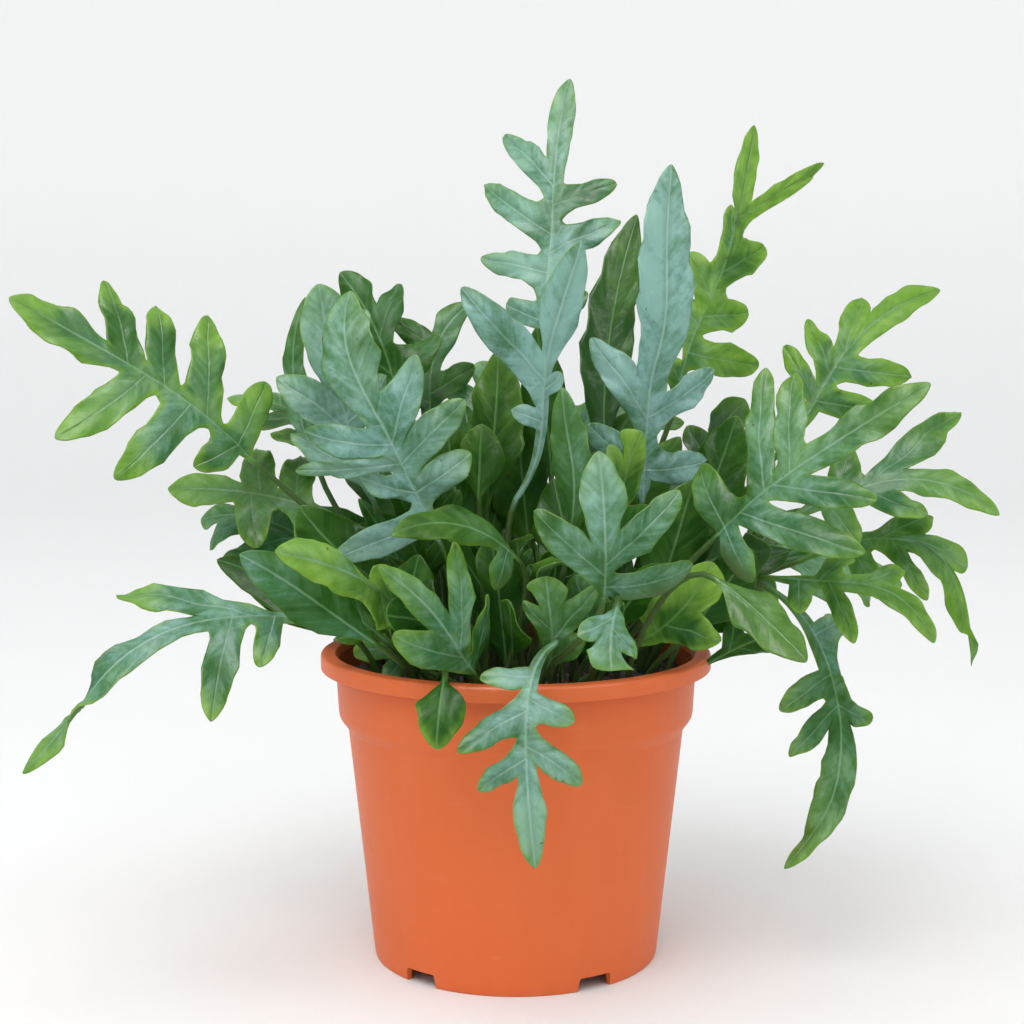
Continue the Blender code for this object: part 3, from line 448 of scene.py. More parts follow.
def lift(blade, side, c, u, v, waves):
    """How far the points of one side stand off its smooth blade.

    The margin waves by a sine of its length, which is measured on the plain solid's few columns. The wave
    grows with t squared, and a finer ruffle at the very edge with t cubed. The blade rises between vein and
    margin by t (1 - t), and is puckered by plane waves, each with its direction, phase and length.
    """
    t = ACROSS
    plain = side_columns(blade, side, blade.rungs(), (0.42,), (0.5,))
    edge = np.interp(c[:, 9], plain[:, 9], distances(plain[:, 2:4]))
    start = blade.number * 1.7 + side * 0.8
    wave = WAVE * np.sin(edge / WAVE_LENGTH * 2 * pi + start + 1.3 * np.sin(edge / 71 + start))
    wave = wave * smooth(c[:, 2] / 12) * (1 - 0.5 * (c[:, 8] == 0) * (c[:, 4] >= 0))
    ruffle = RUFFLE * blade.pucker * np.sin(edge / RUFFLE_LENGTH * 2 * pi + 2 * start + np.sin(edge / 33))
    turn, phase, length = waves
    across = u[..., None] * np.cos(turn) + (v * side)[..., None] * np.sin(turn)
    share = length / BUCKLE_LENGTHS[1]
    buckle = BUCKLE * blade.pucker * (share * np.sin(across / length * 2 * pi + phase)).sum(-1)
    return (wave[:, None] * t ** 2 * smooth((np.abs(v) - 2) / 8)
            + PUFF * 4 * t * (1 - t) * smooth(widths(c) / 10) * (u > 0)
            + ruffle[:, None] * t ** 3 * smooth((np.abs(v) - 3) / 8) * smooth(c[:, [2]] / 12)
            + buckle * smooth((np.abs(v) - 1.5) / 8) * smooth(u / 15))


def thickness(blade, c, u, v, r):
    """Thickness of the points of one side: a round stipe that passes over to a thin blade.

    The midrib and each lobe's vein are bell curves on top of it, and the midrib sinks towards the tip.
    """
    rise = 0.9 * np.clip(1 - u / blade.rib.length, 0, 1) ** 1.2 + 0.12
    ridge = (STIPE_THICK - BLADE_THICK) * rise * np.exp(-(v / 0.9) ** 2)
    vein = 0.45 * np.exp(-(r / 0.6) ** 2) * (c[:, [4]] >= 0) * (v > 1)
    stalk = STIPE_THICK * np.sqrt(np.clip(1 - (v / (STIPE * 1.08)) ** 2, 0.1, 1))
    return stalk + (BLADE_THICK + ridge + vein - stalk) * smooth((u + 3) / 6)


def strip_corners(blade, side, c, u, v, s, r, tone, rows):
    """What a skin needs at the rows of corners on one edge of each strip, between one column and the next.

    Seven numbers: s, r, the lobe's own random number, u, v, the distance to the margin and the share of the
    way to the nearer tip. A strip beside a gap is measured in its lobe at both edges.
    """
    strip = np.maximum(c[:-1, 4], c[1:, 4]).astype(int)
    u, v, s, r = u[rows], v[rows], s[rows], r[rows]
    vein_s, vein_r, share = u.copy(), v.copy(), np.clip(u / blade.rib.length, 0, 1)
    for number, lobe in enumerate(blade.lobes[side]):
        own = strip == number
        at_gap = (c[rows, 4][own] != number)[:, None]
        near_s, near_r = lobe.local(u[own], v[own])
        vein_s[own] = np.where(at_gap, near_s, s[own])
        vein_r[own] = np.where(at_gap, near_r, r[own])
        share[own] = np.maximum(share[own], np.clip(vein_s[own] / lobe.length, 0, 1))
    own_tone = np.broadcast_to(tone[(side + 1) // 2, strip][:, None], u.shape)
    return np.stack([vein_s, vein_r, own_tone, u, v * side, (1 - ACROSS) * widths(c)[rows], share], -1)


def halves(low, high, side):
    """Both triangles of each cell between two rows of corners, from whatever is kept at the corners.

    The last strip is split along its other diagonal, as its end lies on the midrib.
    """
    a, b, c, d = low[:, :-1], high[:, :-1], high[:, 1:], low[:, 1:]
    last = (np.arange(len(a)) == len(a) - 1)[:, None, None]
    both = (a, b, np.where(last, d, c)), (np.where(last, b, a), c, d)
    return np.concatenate([np.stack(one, -2).reshape(-1, 3, a.shape[-1])[:, ::side] for one in both])


def welded(points, faces, digits):
    """Which points to keep, and the faces on them, where points that agree to some digits are one."""
    _, keep, merged = np.unique(np.round(points, digits), axis=0, return_index=True, return_inverse=True)
    return keep, merged.reshape(-1)[faces]


def frond_sheet(blade, steps):
    """One frond as an open sheet of triangles: points, thicknesses, triangles and their corners' numbers.

    A point is vein + t (margin - vein) in the flat plan, with t from 0 to 1 in the steps of ACROSS. It is
    laid on the midrib's curved and cupped blade, and past the wing it passes over to its lobe's own drooping
    surface.
    """
    rib = blade.rib
    draw = np.random.default_rng(blade.number + SHEET_SEED)
    tone = draw.random((2, TONES))
    short, long = BUCKLE_LENGTHS
    waves = (*draw.random((2, BUCKLES)) * 2 * pi, short + (long - short) * draw.random(BUCKLES))
    points, thick, triangles, corners = [], [], [], []
    first = 0
    for side in (-1, 1):
        c = side_columns(blade, side, blade.rungs(*steps), 1 - (1 - ALONG) ** TIP_EASE, ALONG, TIP_EASE)
        u, v, s, r = (c[:, [k]] + (c[:, [k + 2]] - c[:, [k]]) * ACROSS for k in (0, 1, 5, 6))
        place = rib.place(u, v * side)
        normal = rib.read(rib.up, u)
        for number, lobe in enumerate(blade.lobes[side]):
            own = c[:, 4] == number
            there, top = lobe.place(s[own], r[own])
            far = smooth((v[own] - blade.wing_at(lobe.foot)) / (0.3 * lobe.length))[..., None]
            place[own] += (there - place[own]) * far
            normal[own] = unit(normal[own] + (top - normal[own]) * far)
        place += normal * lift(blade, side, c, u, v, waves)[..., None]
        points.append(place.reshape(-1, 3))
        thick.append(thickness(blade, c, u, v, r).ravel())
        cell = (first + np.arange(u.size)).reshape(*u.shape, 1)
        triangles.append(halves(cell[:-1], cell[1:], side)[..., 0])
        low, high = (strip_corners(blade, side, c, u, v, s, r, tone, rows)
                     for rows in (slice(0, -1), slice(1, None)))
        corners.append(halves(low, high, side))
        first += u.size
    points, thick, triangles, corners = map(np.concatenate, (points, thick, triangles, corners))
    keep, triangles = welded(points, triangles, 3)
    a, b, c = triangles.T
    whole = (a != b) & (b != c) & (c != a)
    return points[keep], thick[keep], triangles[whole], corners[whole]


def shell(points, thick, triangles, corners):
    """A closed leaf from a sheet: its points moved half a thickness both ways along their normals.

    The sheet's triangles look away from the leaf's face, so its first skin is the underside. The second is
    the same turned over, and a band of triangles joins the two round the sheet's border, whose edges are
    those with one triangle. Gives points, triangles, corner values and which triangles are underside.
    """
    a, b, c = (points[triangles[:, k]] for k in range(3))
    face = np.cross(b - a, c - a)
    normal = np.zeros_like(points)
    for k in range(3):
        np.add.at(normal, triangles[:, k], face)
    off = unit(normal) * thick[:, None] / 2
    count = len(points)
    sides, values = (np.concatenate([each[:, [k, (k + 1) % 3]] for k in range(3)])
                     for each in (triangles, corners))
    key = np.sort(sides, axis=1) @ (count, 1)
    _, where, times = np.unique(key, return_inverse=True, return_counts=True)
    border = times[where.reshape(-1)] == 1
    (p, q), (vp, vq) = sides[border].T, np.moveaxis(values[border], 1, 0)
    band = np.concatenate([np.stack([q, p, p + count], -1), np.stack([q, p + count, q + count], -1)])
    band_values = np.concatenate([np.stack([vq, vp, vp], 1), np.stack([vq, vp, vq], 1)])
    under = np.repeat([True, False, False], [len(triangles), len(triangles), len(band)])
    return (np.concatenate([points + off, points - off]),
            np.concatenate([triangles, triangles[:, ::-1] + count, band]),
            np.concatenate([corners, corners[:, ::-1], band_values]), under)


# Each frond: its look, as how much blue bloom its skin has kept and how far its margins and tips have
# yellowed; a bloom below 0 is painted shade, a deeper green for fronds in the plant's own shade. Its root,
# (x, y), where its stipe leaves the soil. The way its upper face looks. The half-widths of the blade's end and
# of its narrow part. The points, (x, y, z), that its blade's midrib passes through, from base to tip. Then the
# lobes of its left and of its right side, each as (share of the midrib where it leaves, length, angle,
# half-width).
FRONDS = {
    "left_fan": ((0.55, 1.05), (-48, -12), (0.1, -0.8, 0.6), 11, 6,
        [(-126, -15, 244), (-160, -32, 277), (-188, -45, 296), (-227, -60, 320)],
        [(0.08, 24, 70, 8), (0.31, 52, 80, 10), (0.5, 53, 70, 9.5)],
        [(0.07, 40, 80, 9), (0.22, 57, 60, 9.5), (0.42, 44, 65, 9), (0.57, 48, 65, 9)]),
    "left_behind": ((0.25, 0.5), (-40, 8), (-0.1, -0.7, 0.7), 11, 6,
        [(-83, 0, 209), (-111, 14, 221), (-137, 22, 225), (-174, 30, 226)],
        [(0.27, 32, 135, 9), (0.56, 30, 110, 9.5)], [(0.28, 42, 60, 9.5), (0.5, 40, 65, 9.5)]),
    "left_drooping": ((0.82, 0.8), (-64, -38), (-0.2, -0.75, 0.65), 9, 6,
        [(-91, -62, 174), (-124, -78, 178), (-147, -92, 176), (-174, -108, 161), (-189, -116, 142),
         (-210, -122, 118)],
        [(0.13, 27, 70, 6.5), (0.26, 51, 60, 8.5)], [(0.2, 63, 28, 8.5)]),
    "front_left_plain": ((0.12, 0.05), (-46, -58), (-0.15, -0.95, 0.25), 13, 8,
        [(-63, -84, 168), (-81, -89, 182), (-100, -96, 197), (-119, -104, 210)]),
    "front_left_crinkled": ((0.4, 0.95), (-18, -62), (-0.05, -0.95, 0.35), 9.5, 8,
        [(-48, -86, 180), (-69, -104, 200), (-84, -116, 208), (-101, -126, 214)],
        [(0.27, 20, 145, 9)], [(0.16, 20, 25, 8)]),
    "centre_left_tall": ((0.92, 0.25), (-16, -40), (-0.35, -0.85, 0.4), 14, 7,
        [(-35, -52, 210), (-40, -54, 221), (-50, -58, 242), (-59, -62, 261), (-68, -62, 278),
         (-76, -60, 299), (-74, -56, 323)],
        [(0.08, 52, 90, 8.5), (0.2, 30, 60, 9), (0.31, 52, 75, 8.5), (0.42, 43, 70, 10)],
        [(0.2, 31, 80, 9), (0.31, 41, 65, 9), (0.42, 42, 40, 8.5)]),
    "left_of_centre_broad": ((0.97, 0.3), (-26, 0), (0.3, -0.85, 0.4), 13, 7,
        [(-69, -5, 224), (-81, -12, 263), (-88, -16, 296), (-93, -16, 327)],
        [(0.14, 39, 45, 9), (0.33, 44, 35, 9.5)], [(0.39, 35, 70, 8.5), (0.61, 36, 50, 9)]),
    "upper_left_dark": ((0.15, 0.05), (-14, 22), (-0.45, -0.7, 0.5), 9, 6,
        [(-48, 25, 236), (-59, 32, 275), (-70, 42, 305), (-89, 54, 334)],
        [(0.21, 34, 40, 8.5), (0.47, 34, 35, 8)], [(0.4, 33, 60, 8.5), (0.62, 30, 40, 8)]),
    "upper_left_thin": ((0.15, 0.1), (-4, 34), (0.35, -0.75, 0.55), 8, 5,
        [(-38, 45, 229), (-44, 54, 269), (-41, 62, 296), (-24, 74, 318)],
        [(0.41, 22, 60, 7.5), (0.69, 28, 80, 7)], [(0.47, 35, 55, 7.5)]),
    "centre_plain": ((-0.25, 0.25), (-8, -8), (-0.35, -0.85, 0.4), 15.5, 8,
        [(-14, -12, 222), (-11, -10, 248), (-9, -8, 272), (-8, -4, 296)]),
    "centre_forked": ((0.95, 0.1), (4, -28), (0.25, -0.9, 0.35), 10, 3,
        [(0, -34, 227), (10, -38, 249), (13, -46, 285), (21, -56, 319), (29, -62, 345)],
        [(0.3, 15, 70, 5), (0.48, 57, 48, 9.5)], [(0.42, 11, 55, 5)]),
    "top": ((0.87, 0.3), (10, 30), (-0.3, -0.85, 0.4), 7.5, 5,
        [(9, 34, 260), (13, 40, 305), (18, 50, 353), (21, 62, 396), (28, 76, 433)],
        [(0.29, 26, 70, 7), (0.41, 41, 78, 7.5), (0.53, 54, 58, 8), (0.66, 50, 40, 7.5)],
        [(0.29, 27, 55, 7), (0.46, 40, 62, 7.5), (0.61, 34, 70, 7.5)]),
    "top_plain": ((-0.22, 0.15), (22, 6), (0.45, -0.85, 0.3), 14.5, 7,
        [(44, 12, 237), (43, 16, 271), (47, 24, 310), (60, 36, 362)]),
    "right_of_centre_tall": ((0.98, 0.1), (18, -18), (0.3, -0.92, 0.25), 14, 9,
        [(60, -20, 225), (61, -24, 260), (63, -28, 282), (68, -33, 305), (69, -36, 342), (71, -34, 381)],
        [(0.11, 37, 60, 8), (0.25, 46, 38, 8)], [(0.11, 38, 95, 8.5), (0.25, 44, 65, 8.5)]),
    "centre_bright": ((0.2, 1.25), (26, -34), (0.35, -0.8, 0.5), 9, 5,
        [(48, -40, 218), (50, -42, 237), (53, -43, 248), (58, -43, 259)],
        [(0.31, 21, 30, 6)]),
    "centre_narrow": ((0.15, 0.1), (8, -52), (-0.35, -0.85, 0.4), 10, 6,
        [(25, -56, 215), (26, -60, 243), (23, -62, 261), (21, -62, 280)]),
    "front_star": ((0.7, 0.2), (10, -70), (0.15, -0.85, 0.5), 10, 7,
        [(37, -118, 194), (37, -126, 217), (34, -126, 256)],
        [(0.15, 42, 45, 8.5)], [(0.08, 48, 100, 8.5), (0.23, 45, 56, 8.5)]),
    "front_folded": ((0.72, 0.3), (33, -70), (-0.1, -0.8, 0.6), 9, 9,
        [(42, -130, 190), (39, -140, 179), (39, -146, 167)],
        [(0.3, 17, 45, 7)], [(0.23, 17, 50, 7)]),
    "upper_right": ((0.4, 1.3), (34, 24), (0.45, -0.8, 0.4), 6, 6,
        [(80, 30, 270), (88, 36, 300), (102, 44, 330), (114, 56, 370), (122, 70, 409)],
        [(0.08, 13, 45, 7.5), (0.25, 19, 65, 8), (0.36, 26, 50, 8.5), (0.58, 16, 30, 4.5)],
        [(0.17, 46, 80, 9.5), (0.3, 30, 60, 9.5), (0.46, 34, 40, 9), (0.65, 71, 45, 5)]),
    "right_high": ((0.5, 1.25), (52, 18), (0.15, -0.8, 0.55), 8, 6,
        [(131, 20, 246), (149, 24, 271), (160, 30, 289), (183, 42, 311), (216, 56, 325)],
        [(0.25, 35, 55, 6), (0.35, 34, 45, 6.5), (0.46, 34, 25, 6.5)],
        [(0.24, 33, 70, 8), (0.38, 41, 65, 8)]),
    "right_broad": ((0.55, 0.45), (46, -44), (0.1, -0.8, 0.6), 9.5, 7,
        [(92, -58, 213), (110, -66, 232), (134, -80, 252), (178, -98, 283)],
        [(0.05, 37, 78, 10), (0.24, 62, 68, 9), (0.4, 50, 66, 9.5)],
        [(0.01, 28, 115, 7.5), (0.13, 60, 58, 9), (0.3, 48, 40, 8)]),
    "front_right_plain": ((0.02, 0.3), (50, -60), (0.2, -0.8, 0.55), 11.5, 7,
        [(87, -98, 198), (100, -108, 188), (112, -118, 177), (122, -126, 167)]),
    "right_far": ((0.5, 0.7), (62, -10), (0.2, -0.8, 0.6), 8, 6,
        [(130, -20, 216), (157, -28, 230), (184, -34, 236), (224, -40, 220)],
        [(0.25, 28, 60, 8), (0.36, 66, 36, 7.5)], [(0.21, 26, 80, 8), (0.34, 35, 35, 7.5)]),
    "right_ragged": ((0.35, 0.6), (66, -2), (0.25, -0.75, 0.6), 9, 6,
        [(138, -4, 194), (170, -10, 205), (193, -16, 203), (212, -24, 162)],
        [(0.37, 31, 40, 7), (0.48, 33, 10, 7.5)], [(0.23, 33, 75, 7), (0.44, 35, 60, 5.5)]),
    "right_low": ((0.3, 0.6), (62, -20), (0.2, -0.75, 0.6), 7, 5,
        [(119, -34, 190), (144, -50, 190), (165, -64, 189), (186, -80, 167)],
        [(0.25, 25, 75, 6), (0.5, 22, 45, 6)], [(0.16, 19, 75, 6), (0.33, 36, 55, 5.5)]),
    "right_hanging": ((0.7, 0.5), (70, -33), (0.3, -0.8, 0.4), 8.5, 6,
        [(120, -30, 184), (136, -32, 169), (150, -34, 137), (153, -34, 98), (128, -34, 50)],
        [(0.21, 22, 85, 7), (0.42, 23, 50, 6)], [(0.32, 31, 80, 7), (0.42, 34, 60, 6)]),
    "front_drooping": ((0.98, 0.35), (4, -76), (0.02, -0.97, 0.25), 7, 4,
        [(17, -98, 170), (8, -114, 162), (4, -128, 136), (5, -130, 109), (8, -126, 78)],
        [(0.3, 22, 65, 6), (0.5, 31, 62, 6.5)],
        [(0.22, 22, 75, 6), (0.38, 34, 60, 6.5), (0.55, 26, 62, 5.5)]),
    "front_rim": ((0.55, 0.4), (-18, -75), (-0.1, -0.85, 0.5), 6.5, 6,
        [(-19, -86, 155), (-25, -100, 167), (-33, -112, 182), (-58, -122, 207)],
        [(0.2, 38, 35, 9.5)], [(0.08, 34, 75, 7), (0.28, 50, 35, 7)]),
    "front_arched": ((0.2, 0.3), (-6, -60), (-0.05, -0.8, 0.6), 9.5, 6,
        [(-1, -66, 204), (-21, -76, 218), (-38, -86, 221), (-54, -96, 217)],
        [(0.03, 19, 110, 6.5)]),
    "front_small": ((0.3, 0.2), (-3, -54), (0, -0.85, 0.5), 9, 7,
        [(13, -70, 150), (16, -76, 164), (15, -80, 180), (13, -80, 197)],
        [(0.49, 18, 40, 7)], [(0.18, 19, 45, 7.5), (0.4, 32, 45, 8)]),
    "front_right_bright": ((0.0, 0.95), (36, -54), (0.2, -0.8, 0.6), 11, 8,
        [(53, -58, 162), (65, -64, 170), (78, -68, 184), (88, -68, 202)],
        [(0.29, 27, 85, 8.5)], [(0.37, 26, 55, 8.5)]),
    "back_right_inner": ((-0.2, 0.4), (40, 50), (0.2, -0.7, 0.6), 10, 6,
        [(95, 58, 228), (106, 64, 253), (119, 68, 269)],
        [(0.23, 22, 45, 7.5)], [(0.27, 25, 45, 8)]),
    "front_rim_plain": ((0.2, 0.8), (-36, -62), (-0.2, -0.9, 0.3), 11, 6,
        [(-31, -106, 155), (-32, -115, 149), (-33, -119, 141), (-34, -119, 128)]),
    "rim_left_small": ((0.4, 0.4), (-44, -32), (0, -0.6, 0.8), 8, 5,
        [(-46, -26, 146), (-56, -28, 152), (-66, -30, 155), (-76, -32, 152)],
        [(0.27, 18, 80, 6.5)], [(0.34, 17, 55, 6.5)]),
    "left_narrow": ((0.5, 0.25), (-46, 14), (-0.5, -0.75, 0.4), 7, 5,
        [(-96, 6, 237), (-105, 8, 266), (-108, 10, 291), (-102, 12, 321)]),
    "inner_left": ((-0.2, 0.05), (-28, -28), (-0.3, -0.85, 0.45), 17, 8,
        [(-52, -30, 179), (-78, -34, 198), (-101, -36, 224)]),
    "inner_centre_left": ((-0.4, 0.15), (-10, -22), (0.35, -0.85, 0.4), 17, 8,
        [(-22, -24, 197), (-29, -22, 230), (-33, -18, 265)]),
    "inner_centre": ((-0.3, 0.05), (16, -36), (-0.3, -0.9, 0.35), 17, 8,
        [(31, -32, 179), (24, -32, 208), (18, -28, 236)]),
    "inner_right": ((-0.1, 0.1), (36, -38), (0.3, -0.85, 0.4), 17, 8,
        [(65, -38, 178), (74, -38, 207), (82, -38, 236)]),
    "inner_behind": ((-0.5, 0.2), (4, 12), (0.4, -0.8, 0.4), 17, 8,
        [(7, 14, 192), (3, 12, 232), (0, 12, 271)]),
    "inner_right_behind": ((-0.2, 0.1), (44, 2), (-0.2, -0.85, 0.5), 17, 8,
        [(80, 4, 188), (95, 2, 228), (107, 0, 264)]),
    "low_left": ((-0.15, 0.05), (-26, -44), (-0.45, -0.8, 0.4), 16, 9,
        [(-43, -46, 151), (-48, -50, 175), (-44, -52, 203)]),
    "low_centre": ((-0.35, 0.05), (-4, -40), (0.4, -0.8, 0.4), 16, 9,
        [(-5, -36, 149), (-8, -38, 180), (-12, -38, 210)]),
    "low_right_of_centre": ((0.0, 0.1), (22, -52), (-0.4, -0.8, 0.4), 15, 8,
        [(37, -54, 151), (34, -58, 169), (27, -60, 195)]),
    "low_right": ((-0.1, 0.1), (60, -38), (0.4, -0.8, 0.4), 16, 9,
        [(81, -42, 166), (93, -46, 183), (109, -46, 205)]),
}

# How some blades differ: where the end is widest, how far the blade is turned about its midrib, as (share of
# the blade, degrees), and how strongly it is puckered.
SPECIAL = {
    "left_drooping": dict(widest=0.6, roll=[(0.66, 0), (0.77, 70), (0.9, 0)]),
    "front_left_crinkled": dict(widest=0.3, pucker=2.2),
    "centre_forked": dict(pucker=1.7),
    "top": dict(widest=0.6),
    "right_broad": dict(widest=0.5),
    "right_hanging": dict(widest=0.3, pucker=1.6,
                          roll=[(0.5, 0), (0.62, 30), (0.72, 0), (0.88, 65), (1, 30)]),
}

# Skins of the two kinds of leaf: the specular level, lower for those in the plant's own shade, and the colour
# of the light that comes through.
SKINS = {"leaf_blue": (0.24, (0.17, 0.51, 0.12)), "leaf_green": (0.13, (0.13, 0.45, 0.02))}


def arching(number, turn, root, neck, tip, lobes, longest, first=1, forward=0.0):
    """A row for a frond by rule, arching out over the turn's direction. neck and tip are (radius, height).

    Its face looks up and in, and as much forward as forward says. Its bloom and yellowing are drawn.
    """
    a = radians(turn)
    out = np.array([cos(a), sin(a)])
    (r0, z0), (r1, z1) = neck, tip
    rise = 0.4 * abs(z1 - z0) + 32
    midrib = []
    for k in (0, 0.35, 0.7, 1):
        x, y = out * (r0 + (r1 - r0) * k)
        midrib.append((round(x), round(y), round(z0 + (z1 - z0) * k + rise * k * (1 - k))))
    rows = {1: [], -1: []}
    for k in np.linspace(0, 1, lobes):
        length = longest * (1 - 0.38 * abs(k - 0.35) / 0.65)
        side = first if len(rows[first]) == len(rows[-first]) else -first
        rows[side].append((0.10 + 0.58 * k, round(length), 62 - 8 * k, 8))
    face = (-0.5 * cos(a), -0.5 * sin(a) - forward, 0.85)
    bloom, gold = np.random.default_rng(number + BACK_SEED).random(2)
    look = 0.35 + 0.6 * bloom, 0.15 + 0.5 * gold
    return look, np.round(out * root), face, 9.5, 6, midrib, rows[-1], rows[1]


# The fronds at the back: the turn, root, neck, tip, lobes, longest lobe, first side and forward of each.
BACK = {
    "low_1": (18, 66, (104, 188), (212, 172), 5, 42, 1, 0.7),
    "low_2": (46, 72, (100, 196), (184, 160), 5, 44, -1),
    "low_3": (78, 66, (100, 190), (146, 178), 5, 42),
    "low_4": (108, 68, (102, 194), (152, 156), 6, 44, -1),
    "low_5": (140, 66, (102, 190), (186, 168), 5, 42),
    "low_6": (163, 66, (98, 190), (168, 208), 4, 40, 1, 0.7),
    "mid_1": (22, 62, (80, 208), (168, 222), 5, 30),
    "mid_2": (56, 40, (66, 236), (150, 268), 5, 44, -1),
    "mid_3": (92, 45, (70, 232), (140, 262), 6, 44),
    "mid_4": (130, 47, (78, 236), (150, 276), 5, 44, -1),
    "mid_5": (158, 36, (76, 230), (160, 270), 5, 42, 1, 0.3),
    "high_1": (50, 26, (48, 232), (86, 292), 4, 40),
    "high_2": (100, 44, (56, 226), (100, 288), 4, 40, -1),
}
FRONDS |= {"back_" + name: arching(len(FRONDS) + k, *sizes) for k, (name, sizes) in enumerate(BACK.items())}


def operator(operation, swapped=False):
    """A method of Value that adds the operation's Math node, with its two numbers swapped where asked."""
    def method(self, other=0.0, clamp=False):
        a, b = (other, self) if swapped else (self, other)
        settings = {"operation": operation, "use_clamp": clamp}
        return self.finish.node("ShaderNodeMath", settings, {0: a, 1: b})[0]
    return method


class Value:
    """A socket that Python's arithmetic works on: each operator adds a Math node."""

    def __init__(self, finish, socket):
        self.finish = finish
        self.socket = socket

    __add__ = __radd__ = operator("ADD")
    __sub__ = operator("SUBTRACT")
    __rsub__ = operator("SUBTRACT", swapped=True)
    __mul__ = __rmul__ = operator("MULTIPLY")
    __truediv__ = operator("DIVIDE")
    __pow__ = operator("POWER")
    __abs__ = operator("ABSOLUTE")
    fold = operator("PINGPONG")

    def clamp(self):
        """The value held between 0 and 1."""
        return self.__add__(0.0, clamp=True)

    def step(self, low, high):
        """A smooth step from 0 at low to 1 at high."""
        if low > high:
            return 1 - self.step(high, low)
        settings = {"interpolation_type": "SMOOTHSTEP"}
        return self.finish.node("ShaderNodeMapRange", settings, {0: self, 1: low, 2: high})[0]

    def wave(self):
        """A triangle wave of the value: 0 at each whole number and 1 halfway between."""
        return self.fold(0.5) * 2.0


class Finish:
    """A material and its node tree."""

    def __init__(self, name):
        self.material = bpy.data.materials.new(name)
        self.material.use_nodes = True
        self.tree = self.material.node_tree
        self.tree.nodes.clear()

    def node(self, kind, settings, inputs):
        """A node of a kind, with its settings and then its sockets' values or links. Gives its outputs."""
        made = self.tree.nodes.new(kind)
        for key, setting in settings.items():
            setattr(made, key, setting)
        for key, value in inputs.items():
            if isinstance(value, Value):
                self.tree.links.new(value.socket, made.inputs[key])
            else:
                made.inputs[key].default_value = value
        return [Value(self, socket) for socket in made.outputs]

    def mix(self, share, a, b):
        """A colour that goes from a to b."""
        a, b = (one if isinstance(one, Value) else (*one, 1) for one in (a, b))
        return self.node("ShaderNodeMix", {"data_type": "RGBA"}, {0: share, 6: a, 7: b})[2]

    def coats(self, colour, *coats):
        """A colour with coats over it, each given as the share that it covers and its colour."""
        for share, coat in coats:
            colour = self.mix(share, colour, coat)
        return colour

    def parts(self, attribute):
        """The three numbers of one of the piece's attributes."""
        vector = self.node("ShaderNodeAttribute", {"attribute_name": attribute}, {})[1]
        return self.node("ShaderNodeSeparateXYZ", {}, {0: vector})

    def place(self, scale=(1, 1, 1)):
        """Object coordinates, stretched by scale."""
        here = self.node("ShaderNodeTexCoord", {}, {})[3]
        return self.node("ShaderNodeMapping", {}, {0: here, 3: scale})[0]

    def noise(self, vector, scale, detail=2.0):
        """Noise from 0 to 1, with scale in cycles a metre."""
        return self.node("ShaderNodeTexNoise", {}, {"Vector": vector, "Scale": scale, "Detail": detail})[0]

    def surface(self, colour, roughness, height, depth, sheer=None, through=None, **constants):
        """The Principled shader, with a bump of height times depth, and a share of light let through."""
        inputs = {name.replace("_", " "): value for name, value in constants.items()}
        inputs["Normal"] = self.node("ShaderNodeBump", {}, {"Height": height, "Distance": depth})[0]
        inputs |= {"Base Color": colour, "Roughness": roughness}
        shader = self.node("ShaderNodeBsdfPrincipled", {}, inputs)[0]
        if through:
            glow = self.node("ShaderNodeBsdfTranslucent", {}, {"Color": (*through, 1)})[0]
            shader = self.node("ShaderNodeMixShader", {}, {0: sheer, 1: shader, 2: glow})[0]
        self.node("ShaderNodeOutputMaterial", {}, {0: shader})
        return self.material


